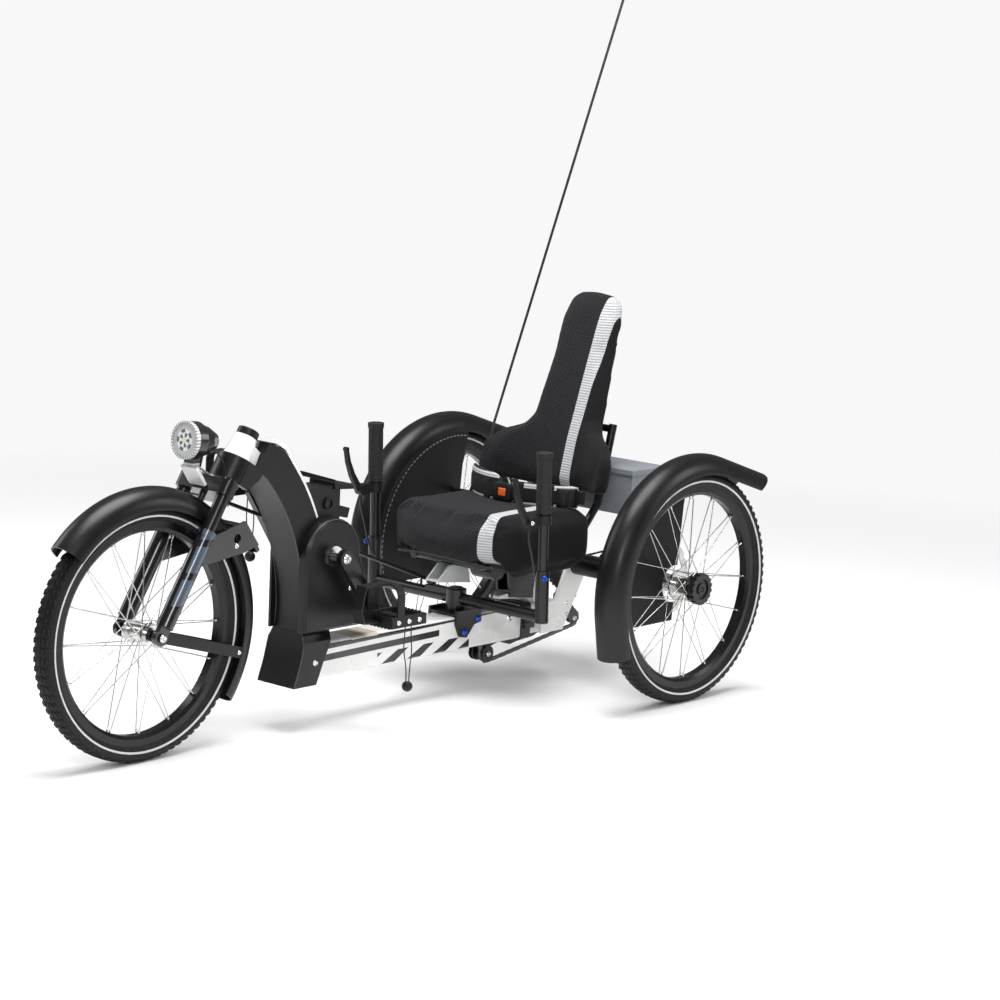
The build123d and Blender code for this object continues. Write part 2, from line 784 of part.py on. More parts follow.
def steer_stand():
    """Saddle bolted on the main bar, with the pin that the handlebar turns on."""
    saddle = bar_low + bar_height + seat_gap
    inner = bar_half_width + seat_gap
    cheek = polygon((pivot_x + 40, saddle + 13), (pivot_x - 36, saddle + 13), (pivot_x - stand_half_length, saddle - 17),
                    (pivot_x - 16, saddle - 21), (pivot_x + 7, saddle - 47), (pivot_x + 28, saddle - 43),
                    (pivot_x + 42, saddle - 15))
    hub_low = crossbar_z - hub_half_height
    hub_high = crossbar_z + hub_half_height
    body = box(pivot_x - 36, pivot_x + 40, -inner - stand_plate, inner + stand_plate, saddle, saddle + stand_plate)
    body += side_solid(cheek, inner, inner + stand_plate)
    body += side_solid(cheek, -inner - stand_plate, -inner)
    body += rod((pivot_x, 0, saddle), (pivot_x, 0, hub_low - seat_gap), 20)
    body += rod((pivot_x, 0, saddle), (pivot_x, 0, hub_high + 4), pivot_radius)
    body += rod((pivot_x, 0, hub_high + seat_gap), (pivot_x, 0, hub_high + 4), pivot_radius + 6)
    return body


def rear_cheeks():
    """White plates from the sliding bar to the rear axle, with the beam that carries the seat."""
    outline = polygon((112, 108), (112, 176), (66, 176), (26, 262), (-26, 262), (-26, 222), (40, 108))
    outline += Pos(0, axle_z) * Circle(axle_housing_radius + 6)
    bar_side = bar_half_width - bar_wall
    bar_top = bar_low + bar_height - bar_wall
    beam = polygon((58, bar_top), (60, bar_top + 37), (72, bar_top + 38), (216, bar_top + 26), (216, bar_top + 20),
                   (180, bar_top + 17), (125, bar_top + 10), (110, bar_top))
    body = box(58, 112, -cheek_y, cheek_y, bar_top, bar_top + 5)
    body += side_solid(beam, -idler_y, idler_y)
    for side in (-1, 1):
        far = side * (cheek_y + cheek_thickness)
        near = side * cheek_y
        pad = side * bar_side
        body += side_solid(outline, min(near, far), max(near, far))
        body += box(inner_bar_rear, 110, min(pad, near), max(pad, near), 112, 164)
    return body


def pole_point(distance):
    """A point on the flag pole's centre line, measured up from its foot."""
    lean_angle = math.radians(pole_lean)
    return (pole_root[0] - distance * math.sin(lean_angle), pole_root[1],
            pole_root[2] + distance * math.cos(lean_angle))


def rear_frame():
    """Axle housings with their stubs, box racks and fender stays, and the flag pole's holder on the right."""
    start = cheek_y + cheek_thickness + seat_gap
    knee_y = axle_housing_end - 8
    guard_y = half_track - fender_half_width - seat_gap
    bodies = []
    for side in (-1, 1):
        stub_end = side * (half_track + hub_cap_out - hub_cap_thickness - 1)
        body = rod((0, side * start, axle_z), (0, side * axle_housing_end, axle_z), axle_housing_radius)
        body += rod((0, side * knee_y, axle_z), (0, stub_end, axle_z), rear_stub_radius)
        rack = (-100, side * 110, box_low - 30)
        body += rod((-10, side * 110, axle_z + 18), rack, 8)
        body += Pos(*rack) * Sphere(8) + rod(rack, (rack[0], rack[1], box_low - seat_gap), 7)
        for x, z in ((8, axle_z + 112), (96, axle_z - 34)):
            knee = (x, side * knee_y, z)
            body += rod((0, side * knee_y, axle_z), knee, 6)
            body += Pos(*knee) * Sphere(6) + rod(knee, (x, side * guard_y, z), 6)
        if side < 0:
            body += rod(pole_point(-holder_floor), pole_point(holder_length), holder_radius)
            body -= rod(pole_point(0), pole_point(holder_length), pole_foot_radius)
        bodies.append(body)
    return bodies


def sprocket_face(radius):
    """A toothed disc: a circle with a notch at each chain roller."""
    teeth = round(2 * math.pi * radius / chain_pitch)
    return Circle(radius) - ring_of(Circle(3.4), radius + 0.6, teeth)


def cassette():
    """Toothed sprockets on the drive shaft between the cheeks."""
    body = cross_cylinder(0, axle_z, shaft_radius, -cheek_y + seat_gap, cheek_y - seat_gap)
    body += cross_cylinder(0, axle_z, 16, -sprocket_spacing * 3.5, sprocket_spacing * 3.5)
    for index in range(sprocket_count):
        y = (chain_sprocket - index) * sprocket_spacing
        face = sprocket_face(largest_sprocket - index * sprocket_step)
        if index == chain_sprocket:
            face = Circle(sprocket_core)
        body += side_solid(Pos(0, axle_z) * face, y - sprocket_thickness / 2, y + sprocket_thickness / 2)
    return body


def derailleur():
    """Parallelogram body, cage and two guide wheels."""
    plate_in = outer_link_width / 2 + 0.8
    plate_out = plate_in + 3
    cage = strap((*upper_guide, 15), (*lower_guide, 13))
    body = side_solid(cage, plate_in, plate_out) + side_solid(cage, -plate_out, -plate_in)
    for x, z in (upper_guide, lower_guide):
        body += cross_cylinder(x, z, guide_core, -2, 2)
        body += cross_cylinder(x, z, 4, -plate_out, plate_out)
    x, z = upper_guide
    body += side_solid(polygon((x - 16, z + 4), (x + 14, z + 4), (x + 14, z + 17), (x - 16, z + 17)), plate_in + 1, 34)
    body += side_solid(strap((x, z + 10, 8), (x + 15, z + 54, 9)), 23, 34)
    body += side_solid(Pos(x + 15, z + 54) * Circle(9), 30, cheek_y - seat_gap)
    return body


def idlers():
    """Two flanged chain wheels on one pin, on a forged bracket under the bars."""
    clear = outer_link_width / 2 + 0.4
    clamp_low = bar_low - clamp_wall - seat_gap
    inner_low = bar_low + bar_wall
    body = cross_cylinder(idler_x, idler_z, 5, -idler_y - 8, idler_y + 8)
    body += cross_cylinder(idler_x, idler_z, 9, -3, 3)
    for y in (-idler_y, idler_y):
        body += cross_cylinder(idler_x, idler_z, guide_core, y - clear - 1, y + clear + 1)
        for edge in (y - clear - idler_flange, y + clear):
            body += cross_cylinder(idler_x, idler_z, guide_chain_radius + 1, edge, edge + idler_flange)
    bracket = polygon((idler_x + 12, bar_low - seat_gap), (bar_rear + 7, bar_low - seat_gap), (bar_rear + 3, clamp_low),
                      (bar_rear - clamp_length - 5, clamp_low), (bar_rear - clamp_length - 9, inner_low), (64, inner_low),
                      (64, 98), (84, 90), (137, 86), (160, 82), (197, 93), (219, 88), (idler_x - 8, idler_z),
                      (idler_x + 8, idler_z))
    body += side_solid(bracket, -3, 3)
    return body


# Roller chain

def chain_points(stops):
    """Pin centres at the chain's pitch along a path that wraps round guide circles.

    Each stop is x, z, radius and the way round it, 1 for anticlockwise, -1 for clockwise and 0 for an open end.
    """
    runs = []
    arrive = None
    for first, second in zip(stops, stops[1:]):
        across = first[3] * first[2]
        onward = second[3] * second[2]
        gap = math.hypot(second[0] - first[0], second[1] - first[1])
        skew = onward - across
        length = math.sqrt(gap ** 2 - skew ** 2)
        heading = math.atan2(second[1] - first[1], second[0] - first[0]) - math.atan2(skew, length)
        start = (first[0] + across * math.sin(heading), first[1] - across * math.cos(heading))
        if arrive is not None:
            swing = (heading - arrive) * first[3] % (2 * math.pi)
            runs.append(("arc", first, arrive, swing))
        runs.append(("line", start, heading, length))
        arrive = heading
    points = []
    spare = 0.0
    for kind, place, heading, extent in runs:
        total = extent if kind == "line" else extent * place[2]
        while spare <= total:
            if kind == "line":
                points.append((place[0] + spare * math.cos(heading), place[1] + spare * math.sin(heading)))
            else:
                turned = heading + place[3] * spare / place[2]
                side = place[3] * place[2]
                points.append((place[0] + side * math.sin(turned), place[1] - side * math.cos(turned)))
            spare += chain_pitch
        spare -= total
    return points


def chain():
    """Links from behind the sliding bar round the sprocket, the guide wheels and the idler into the main bar."""
    stops = (
        # x, z, radius of the pins' path, way round
        (inner_bar_rear - 6, 150, 0, 0),
        (0, axle_z, chain_sprocket_radius, 1),
        (*upper_guide, guide_chain_radius, -1),
        (*lower_guide, guide_chain_radius, 1),
        (idler_x, idler_z, guide_chain_radius, 1),
        (idler_x + guide_chain_radius, 112, 0, 0),
    )
    points = chain_points(stops)
    lowest = min(range(len(points)), key=lambda index: points[index][0])
    links = []
    for index, (start, end) in enumerate(zip(points, points[1:])):
        middle_x = (start[0] + end[0]) / 2
        middle_z = (start[1] + end[1]) / 2
        share = (middle_x - lower_guide[0]) / (idler_x - idler_approach - lower_guide[0])
        y = idler_y * min(max(share, 0), 1) if index > lowest else 0
        width = inner_link_width if index % 2 else outer_link_width
        turn = math.degrees(math.atan2(end[1] - start[1], end[0] - start[0]))
        reach = math.hypot(end[0] - start[0], end[1] - start[1])
        plate = Pos(middle_x, middle_z) * Rot(0, 0, turn) * Rectangle(reach + 5, link_height)
        links.append(side_solid(plate, y - width / 2, y + width / 2))
    return links[0].fuse(*links[1:])


def brake_calipers():
    """A block astride each rotor, on a bracket from the axle housing."""
    y = half_track - rotor_inset
    bracket_end = axle_housing_end + 6
    body = side_solid(strap((74, 292, 19), (97, 302, 16)), bracket_end, y + 16)
    body -= cross_cylinder(0, axle_z, rotor_radius + 3, y - 1, y + rotor_thickness + 1)
    arm = strap((0, axle_z, axle_housing_radius + 10), (90, 294, 13))
    arm -= Pos(0, axle_z) * Circle(rear_stub_radius + seat_gap)
    body += side_solid(arm, axle_housing_end + seat_gap, bracket_end)
    return body


def wheel_guards():
    """Flat panel inboard of each rear wheel, under the inner edge of its fender."""
    panel = Pos(0, axle_z) * (Circle(fender_radius - fender_depth - seat_gap) - Circle(40))
    panel -= polygon((-400, -50), (20, -50), (-20, 420), (-60, 600), (-400, 600))
    panel -= polygon((-400, -50), (400, -50), (400, 170), (-400, 170))
    y = half_track - fender_half_width
    return side_solid(panel, y, y + fender_wall)


# Seat

def seat_frame():
    """Tubes under the seat base and up the back, on two plates from the beam."""
    rail_z = seat_low - tube_radius - seat_gap
    slope = math.tan(math.radians(back_lean))
    back_x = back_foot_x - back_thickness - (tube_radius + seat_gap) / math.cos(math.radians(back_lean))
    bend_z = back_low - 14
    bend_x = back_x + (back_low - bend_z) * slope
    top_x = back_x - (frame_top - back_low) * slope
    crossings = (
        # x, z
        (seat_front - 60, rail_z), (idler_x - 10, rail_z), (190, rail_z), (seat_rear + 20, rail_z),
        (back_x - 30 * slope, back_low + 30), (top_x + 10 * slope, frame_top - 10),
    )
    body = rod((seat_front - 60, -rail_y, rail_z), (seat_front - 60, rail_y, rail_z), tube_radius - 1)
    for x, z in crossings[1:]:
        body += rod((x, -rail_y, z), (x, rail_y, z), tube_radius - 1)
    for y in (-rail_y, rail_y):
        corners = ((seat_front - 50, y, rail_z), (seat_rear - 20, y, rail_z), (bend_x, y, bend_z), (top_x, y, frame_top))
        path = FilletPolyline(*corners, radius=20)
        body += sweep(Plane(origin=corners[0], z_dir=(-1, 0, 0)) * Circle(tube_radius), path)
    plate = polygon((110, 182), (185, 192), (200, rail_z + 5), (100, rail_z + 5))
    inner = idler_y + seat_gap
    body += side_solid(plate, inner, inner + 6) + side_solid(plate, -inner - 6, -inner)
    body += cross_cylinder(idler_x - 10, rail_z - 31, 24, -30, 30)
    return body


def seat_bracket():
    """Light grey channel that hangs from the front cross tube."""
    top = seat_low - 2 * tube_radius - seat_gap + 1 - seat_gap
    middle = seat_front - 60
    outline = polygon((middle + 48, top - 32), (middle + 12, top), (middle - 44, top), (middle - 56, top - 44))
    body = side_solid(outline, -18, 18)
    return body - side_solid(Pos(0, 4) * outline, -14, 14)


def seat_base():
    """Cushion with a bowed front that rolls down, and a skirt on each side."""
    plan = make_face(
        Polyline((seat_side_front, seat_half_width), (seat_rear, seat_half_width), (seat_rear, -seat_half_width),
                 (seat_side_front, -seat_half_width))
        + ThreePointArc((seat_side_front, -seat_half_width), (seat_front, 0), (seat_side_front, seat_half_width))
    )
    side = polygon((seat_front - 36, skirt_low), (seat_rear - 5, skirt_low), (seat_rear - 5, seat_top),
                   (seat_front - 62, seat_top), (seat_front - 26, seat_top - 10), (seat_front - 6, seat_top - 30),
                   (seat_front + 3, seat_top - 52))
    body = extrude(Plane(origin=(0, 0, skirt_low)) * plan, seat_top - skirt_low)
    body &= side_solid(side, -seat_half_width, seat_half_width)
    inner = seat_half_width - skirt_width
    return body - box(seat_rear - 1, seat_front + 1, -inner, inner, skirt_low, seat_low)


def seat_back():
    """Tall narrow back whose hips come forward as wings, lofted up its lean."""
    lean_angle = math.radians(back_lean)
    up = Vector(-math.sin(lean_angle), 0, math.cos(lean_angle))
    foot = Vector(back_foot_x - back_thickness, 0, back_low)
    sections = (
        # height, half width, depth of the wings
        (0, 172, 80),
        (14, 180, 85),
        (72, 180, 85),
        (113, 153, 62),
        (139, 118, 36),
        (163, 104, 24),
        (300, 92, 14),
        (391, 86, 10),
        (438, 70, 7),
        (453, 49, 4),
    )
    faces = []
    for height, half, wing in sections:
        inner = half - back_edge_inset
        front = wing + back_edge
        plane = Plane(origin=foot + up * height, x_dir=(0, 1, 0), z_dir=up)
        faces.append(plane * make_face(
            ThreePointArc((half, -wing), (0, 0), (-half, -wing))
            + Line((-half, -wing), (-inner, -front))
            + ThreePointArc((-inner, -front), (0, -back_thickness), (inner, -front))
            + Line((inner, -front), (half, -wing))
        ))
    return loft(faces, ruled=True)


def lap_belt():
    """Padded belt that stands on the seat in an arc."""
    rear, front, half = belt_rear, belt_front, belt_half_width
    thick = belt_thickness
    band = make_face(
        ThreePointArc((rear, -half), (front, 0), (rear, half))
        + Line((rear, half), (rear - thick, half - 4))
        + ThreePointArc((rear - thick, half - 4), (front - thick, 0), (rear - thick, 4 - half))
        + Line((rear - thick, 4 - half), (rear, -half))
    )
    return extrude(Plane(origin=(0, 0, seat_top + seat_gap)) * band, belt_height)


def rear_box():
    """Box behind the seat, with a lid that is a little wider."""
    body = box(box_rear, box_front, -box_half_width, box_half_width, box_low, box_high - lid_height)
    lid = box(box_rear - lid_edge, box_front + lid_edge, -box_half_width - lid_edge, box_half_width + lid_edge,
              box_high - lid_height, box_high)
    top = lid.faces().sort_by(Axis.Z)[-1]
    return body + chamfer(top.edges(), 5)


def flag_pole():
    """Thin pole, with a slimmer foot that fills the holder's hole."""
    foot = rod(pole_point(0), pole_point(holder_length), pole_foot_radius)
    return foot + rod(pole_point(holder_length), pole_point(pole_length), pole_radius)


# Handlebar and its rod

def post_point(side, z):
    """The post's centre line leans forward by post_lean_x from the crossbar to the grip's top."""
    share = (z - crossbar_z) / (grip_high - crossbar_z)
    return (pivot_x + post_lean_x * share, side * post_y, z)


def handlebar():
    body = rod((pivot_x, -post_y, crossbar_z), (pivot_x, post_y, crossbar_z), crossbar_radius)
    body += rod((pivot_x, 0, crossbar_z - hub_half_height), (pivot_x, 0, crossbar_z + hub_half_height), 22)
    for side in (-1, 1):
        body += rod(post_point(side, crossbar_z - 12), post_point(side, crossbar_z + sleeve_height), sleeve_radius)
        body += rod(post_point(side, crossbar_z + sleeve_height - 8), post_point(side, grip_high - 6), post_radius)
    arm_top = crossbar_z + crossbar_radius + 5
    body += box(pivot_x - 10, pivot_x + 10, rod_y - 10, -10, arm_top - 12, arm_top)
    body -= rod((pivot_x, 0, crossbar_z - 30), (pivot_x, 0, crossbar_z + 30), pivot_radius + running_gap)
    body += extrude(rod_plane(-10) * Circle(rod_pin_radius), 18)
    return body


def grips():
    bodies = []
    for side in (-1, 1):
        grip = rod(post_point(side, grip_low), post_point(side, grip_high), grip_radius)
        grip += rod(post_point(side, grip_high - 10), post_point(side, grip_high), grip_radius + 1.5)
        grip -= rod(post_point(side, grip_low - 5), post_point(side, grip_high - 5), post_radius)
        bodies.append(grip)
    return bodies


def hand_controls():
    """Clamp on each post with a brake lever that points forward and up."""
    blade = (
        # forward from the post, up from the clamp
        (14, -9), (46, -12), (60, -3), (80, 30), (92, 60), (98, 88), (92, 92), (84, 64), (70, 36), (50, 9), (14, 9),
    )
    bodies = []
    for side in (-1, 1):
        clamp = rod(post_point(side, grip_low - 24), post_point(side, grip_low - 4), post_radius + 6)
        x, y, z = post_point(side, grip_low - 14)
        lever = polygon(*[(x + forward, z + up) for forward, up in blade]) + Pos(x + 95, z + 90) * Circle(5)
        clamp += side_solid(lever, y - 5, y + 5)
        clamp += side_solid(strap((x + 22, z, 10), (x + 44, z - 2, 12)), y - 9, y + 9)
        clamp -= rod(post_point(side, grip_low - 40), post_point(side, grip_low + 10), post_radius)
        bodies.append(clamp)
    return bodies


def side_mirror():
    """Slim mirror on an arm from the right hand control."""
    glass = polygon((391, 421), (406, 417), (507, 443), (490, 449))
    body = side_solid(glass, mirror_y_outer, mirror_y_inner)
    return body + rod((395, -post_y - 9 - seat_gap, grip_low - 11), (395, mirror_y_inner - 2, grip_low - 11), 5)


def bend_radii(corners):
    """Arc radius for each corner of a cord's route, from the shorter run beside it and the turn."""
    radii = []
    for before, here, after in zip(corners, corners[1:], corners[2:]):
        come = Vector(*here) - Vector(*before)
        leave = Vector(*after) - Vector(*here)
        half_turn = math.radians(come.get_angle(leave)) / 2
        radii.append(0.45 * min(come.length, leave.length) / math.tan(half_turn))
    return radii


def cord_solid(corners, radius):
    """A round cord along straight runs joined by tangent arcs."""
    path = FilletPolyline(*corners, radius=bend_radii(corners))
    start = Plane(origin=corners[0], z_dir=Vector(*corners[1]) - Vector(*corners[0]))
    return sweep(start * Circle(radius), path)


def control_cables():
    """Brake cable from each hand control, down its post and over to the crossbar."""
    bar_top = crossbar_z + crossbar_radius + seat_gap
    route = (
        # x, distance from the middle, z
        (pivot_x + 52.3, 240, 398.6), (pivot_x + 52.3, 240, 374), (pivot_x + 38, 240, 336), (pivot_x + 27, 239, 298),
        (pivot_x + 22, 226, 262), (pivot_x + 18, 190, 250), (pivot_x + 13, 152, 250), (pivot_x + 7, 120, 245),
        (pivot_x, 101, bar_top + 17), (pivot_x, 101, bar_top),
    )
    return [cord_solid([(x, side * y, z) for x, y, z in route], cable_radius) for side in (-1, 1)]


rod_rear = (pivot_x, rod_y, crossbar_z + crossbar_radius + rod_lift)


def rod_plane(offset):
    """Plane across the pin at the rear end of the tie rod."""
    tilt = math.radians(rod_tilt)
    along = Vector(0, math.sin(tilt), math.cos(tilt))
    return Plane(origin=Vector(*rod_rear) + along * offset, x_dir=(1, 0, 0), z_dir=along)


def tie_rod():
    middle = head_point(crown_low + 13, 0, rod_y)
    body = rod(rod_rear, tuple(middle), rod_radius)
    body += extrude(rod_plane(-5) * Circle(rod_eye_radius), 10)
    body -= extrude(rod_plane(-10) * Circle(rod_pin_radius + running_gap), 20)
    body += extrude(head_plane(crown_low + 8, 0, rod_y) * Circle(rod_eye_radius), 10)
    body -= extrude(head_plane(crown_low, 0, rod_y) * Circle(rod_pin_radius + rod_eye_play), 30)
    return body


# Crank and pedals

def crank_end(sign):
    angle = math.radians(crank_angle)
    return (crank_x + sign * crank_length * math.cos(angle), crank_z + sign * crank_length * math.sin(angle))


def crankset():
    """Spindle with a tapered arm on each side."""
    outer = crank_arm_inner + crank_arm_thickness
    body = cross_cylinder(crank_x, crank_z, spindle_radius, -outer, outer)
    for side in (1, -1):
        x, z = crank_end(side)
        y_low, y_high = (crank_arm_inner, outer) if side > 0 else (-outer, -crank_arm_inner)
        arm = strap((crank_x, crank_z, crank_boss_radius), (x, z, crank_eye_radius))
        arm -= Pos(x, z) * Circle(pedal_pin_radius + running_gap)
        body += side_solid(arm, y_low, y_high)
    return body


def pedal(side):
    """Platform pedal with a toe clip and strap, built on the left and mirrored for the right."""
    x, z = crank_end(side)
    end = pedal_start + pedal_width
    half = pedal_length / 2
    low = z - pedal_thickness / 2
    high = z + pedal_thickness / 2
    body = box(x - half, x + half, pedal_start, end, low, high)
    inner = pedal_start + pedal_rail
    outer = end - pedal_rail
    body -= box(x - half + pedal_bar, x - 12, inner, outer, low - 1, high + 1)
    body -= box(x + 12, x + half - pedal_bar, inner, outer, low - 1, high + 1)
    body -= box(x - 12, x + 12, inner, outer, z + 7, high + 1) + box(x - 12, x + 12, inner, outer, low - 1, z - 7)
    body += cross_cylinder(x, z, pedal_pin_radius, crank_arm_inner, pedal_start + pedal_rail)
    pitch = (pedal_width - 2 * pedal_rail) / pedal_teeth
    for index in range(pedal_teeth):
        y = inner + (index + 0.5) * pitch
        for front in (-half + pedal_bar / 2, half - pedal_bar / 2):
            body += box(x + front - 2, x + front + 2, y - 2, y + 2, low - pedal_tooth, high + pedal_tooth)
    middle = (pedal_start + end) / 2
    clip = polygon((x + half - 4, z - 4), (x + toe_clip_reach, z), (x + toe_clip_reach + 8, z + 30),
                   (x + toe_clip_reach - 4, z + toe_clip_height), (x + 24, z + toe_clip_height),
                   (x + 24, z + toe_clip_height - toe_clip_thickness), (x + toe_clip_reach - 7, z + toe_clip_height - 4),
                   (x + toe_clip_reach + 4, z + 30), (x + toe_clip_reach - 4, z + 4), (x + half - 4, z))
    body += side_solid(clip, middle - toe_clip_width / 2, middle + toe_clip_width / 2)
    loop_height = toe_clip_height + pedal_thickness / 2
    loop_z = low + loop_height / 2
    loop = Pos(middle, loop_z) * (RectangleRounded(pedal_width, loop_height, 26)
                                  - RectangleRounded(pedal_width - 2 * toe_strap_thickness,
                                                     loop_height - 2 * toe_strap_thickness, 23))
    band = end_solid(loop, x + toe_strap_x, x + toe_strap_x + toe_strap_width)
    body += band - box(x - half, x + half, pedal_start, end, low - 5, z)
    return body if side > 0 else mirrored(body)


def ball_top(side):
    """Where the cord meets the ball under a pedal, in the left pedal's frame."""
    x, z = crank_end(side)
    return (x - ball_back, pedal_start + pedal_width / 2 - 4, z - ball_drop + ball_flat)


def pedal_ball(side):
    """Ball with a flat top that hangs from the rear of a pedal and keeps it level."""
    x, y, z = ball_top(side)
    body = Pos(x, y, z - ball_flat) * Sphere(ball_radius)
    body -= box(x - ball_radius, x + ball_radius, y - ball_radius, y + ball_radius, z, z + ball_radius)
    return body if side > 0 else mirrored(body)


def pedal_cord(side):
    """Two strands of one cord loop, from the pedal's rear bar down to the ball."""
    x, y, z = ball_top(side)
    pedal_x, pedal_z = crank_end(side)
    start_x = pedal_x - cord_back
    start_z = pedal_z - pedal_thickness / 2
    drop = start_z - z
    strands = []
    for hand in (-1, 1):
        route = ((start_x, y + hand * 8, start_z - seat_gap), (start_x, y + hand * 8, start_z - 0.2 * drop),
                 (start_x - 1, y + hand * 12, start_z - 0.5 * drop), (x, y + hand * 4, z + 0.2 * drop),
                 (x, y + hand * 4, z + seat_gap))
        strands.append(cord_solid(route, cord_radius))
    if side > 0:
        return strands
    return [mirrored(strand) for strand in strands]


# Lamp, on a plane whose normal points back along its axis

lamp_tilt = 6
lamp_front = (1134, 0, 613)
lamp_radius = 37
lens_radius = 33
lamp_foot_s = crown_low + crown_height + seat_gap


def lamp_turned(*profile):
    """Turn a profile of radius and depth about the lamp's axis."""
    tilt = math.radians(lamp_tilt)
    back = Vector(-math.cos(tilt), 0, -math.sin(tilt))
    side = Vector(0, 1, 0)
    plane = Plane(origin=lamp_front, x_dir=side, z_dir=side.cross(back))
    return revolve(plane * polygon(*profile), Axis(lamp_front, tuple(back)), 360)


def headlamp():
    """Domed lamp body with a ring round the lens and a lug underneath."""
    body = lamp_turned((0, 7), (lens_radius, 7), (lens_radius, 0), (lamp_radius, 0), (lamp_radius, 30),
                       (lamp_radius - 4, 35), (28, 54), (17, 76), (0, 87))
    x, y, z = lamp_front
    lug = box(x - 30, x - 12, -12, 12, z - 45, z - 33)
    return body + lug


def lamp_lens():
    return lamp_turned((0, 0), (20, 0.6), (lens_radius - seat_gap, 2.4), (lens_radius - seat_gap, 7 - seat_gap),
                       (0, 7 - seat_gap))


def lamp_bracket():
    """Foot on the crown with two wires up to the lamp's lug."""
    x, y, z = lamp_front
    foot = head_plane(lamp_foot_s, fork_offset + 3)
    body = extrude(foot * RectangleRounded(26, 32, 4), 4)
    base = head_point(lamp_foot_s + 2, fork_offset + 8)
    for side in (-1, 1):
        body += rod((base.X, side * 10, base.Z), (x - 21, side * 10, z - 47), 2)
    top = box(x - 30, x - 12, -13, 13, z - 49, z - 45 - seat_gap)
    return body + top


def front_reflector():
    """White reflector in its frame, on a short arm from the bracket's foot."""
    base = head_point(lamp_foot_s + 2.6, fork_offset + 16.7)
    plate = polygon((1092, 527), (1097, 523), (1122, 559), (1116, 563))
    body = side_solid(plate, -22, 22)
    return body + rod((base.X, 0, base.Z), (1113, 0, 557), 1.6)


parts = {
    "front_tyre": lambda: tyre(wheelbase, 0, axle_z),
    "front_rim": lambda: rim(wheelbase, 0, axle_z),
    "front_hub": front_hub,
    "tyre_left": lambda: tyre(0, half_track, axle_z),
    "rim_left": lambda: rim(0, half_track, axle_z),
    "hub_left": lambda: rear_hub(1),
    "rotor_left": lambda: rear_rotor(1),
    "tyre_right": lambda: tyre(0, -half_track, axle_z),
    "rim_right": lambda: rim(0, -half_track, axle_z),
    "hub_right": lambda: rear_hub(-1),
    "rotor_right": lambda: rear_rotor(-1),
    "neck": neck,
    "neck_shell": neck_shell,
    "headset": headset,
    "head_cap": head_cap,
    "boot": boot,
    "crank_cover": crank_cover,
    "bottom_bracket": bottom_bracket,
    "switch_box": switch_box,
    "main_bar": main_bar,
    "inner_bar": inner_bar,
    "bar_clamp": bar_clamp,
    "steer_stand": steer_stand,
    "rear_cheeks": rear_cheeks,
    "rear_frame": rear_frame,
    "cassette": cassette,
    "derailleur": derailleur,
    "idlers": idlers,
    "chain": chain,
    "brake_calipers": lambda: both_sides(brake_calipers()),
    "wheel_guards": lambda: both_sides(wheel_guards()),
    "rear_fenders": lambda: both_sides(rear_fender()),
    "seat_frame": seat_frame,
    "seat_bracket": seat_bracket,
    "seat_base": seat_base,
    "seat_back": seat_back,
    "lap_belt": lap_belt,
    "rear_box": rear_box,
    "flag_pole": flag_pole,
    "fork": fork,
    "fork_sliders": fork_sliders,
    "front_fender": front_fender,
    "headlamp": headlamp,
    "lamp_lens": lamp_lens,
    "lamp_bracket": lamp_bracket,
    "front_reflector": front_reflector,
    "handlebar": handlebar,
    "grips": grips,
    "hand_controls": hand_controls,
    "side_mirror": side_mirror,
    "control_cables": control_cables,
    "tie_rod": tie_rod,
    "crankset": crankset,
    "pedal_left": lambda: pedal(1),
    "cord_left": lambda: pedal_cord(1),
    "ball_left": lambda: pedal_ball(1),
    "pedal_right": lambda: pedal(-1),
    "cord_right": lambda: pedal_cord(-1),
    "ball_right": lambda: pedal_ball(-1),
}

os.makedirs("parts", exist_ok=True)
shift = Pos(-origin_x, 0, 0)
for name, make in parts.items():
    made = make()
    solids = [solid for item in made for solid in item.solids()] if isinstance(made, list) else made.solids()
    shape = shift * (solids[0] if len(solids) == 1 else Compound(list(solids)))
    export_step(shape, f"parts/{name}.step")
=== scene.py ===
"""Looks of the recumbent trike: camera, light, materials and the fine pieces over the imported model."""
import math

import bmesh
import bpy
from mathutils import Matrix, Vector

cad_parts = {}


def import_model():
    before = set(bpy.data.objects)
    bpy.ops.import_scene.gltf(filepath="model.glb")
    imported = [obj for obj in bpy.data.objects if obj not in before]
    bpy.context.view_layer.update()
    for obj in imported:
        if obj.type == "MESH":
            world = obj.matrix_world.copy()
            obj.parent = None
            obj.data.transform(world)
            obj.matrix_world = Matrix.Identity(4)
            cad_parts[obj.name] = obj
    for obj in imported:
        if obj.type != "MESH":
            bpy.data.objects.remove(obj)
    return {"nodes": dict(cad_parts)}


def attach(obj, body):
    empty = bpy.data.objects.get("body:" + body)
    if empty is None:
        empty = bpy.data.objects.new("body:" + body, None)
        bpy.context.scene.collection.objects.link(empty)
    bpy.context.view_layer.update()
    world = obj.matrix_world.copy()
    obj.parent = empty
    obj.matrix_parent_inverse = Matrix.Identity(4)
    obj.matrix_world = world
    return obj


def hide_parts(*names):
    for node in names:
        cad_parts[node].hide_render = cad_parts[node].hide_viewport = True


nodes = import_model()["nodes"]
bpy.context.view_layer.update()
scene = bpy.context.scene

# Sizes shared with the part, in millimetres: X from the rear axle, Y from the middle, Z from the floor
ORIGIN_X = 505.48
WHEELBASE = 1234
HALF_TRACK = 355
AXLE_Z = 250
RIM_INNER = 198
SPOKES_PER_SIDE = 16
CRANK_X = 775
CRANK_Z = 356
CRANK_LENGTH = 150
CRANK_ANGLE = 234
PEDAL_MIDDLE_Y = 147
PEDAL_END_Y = 190

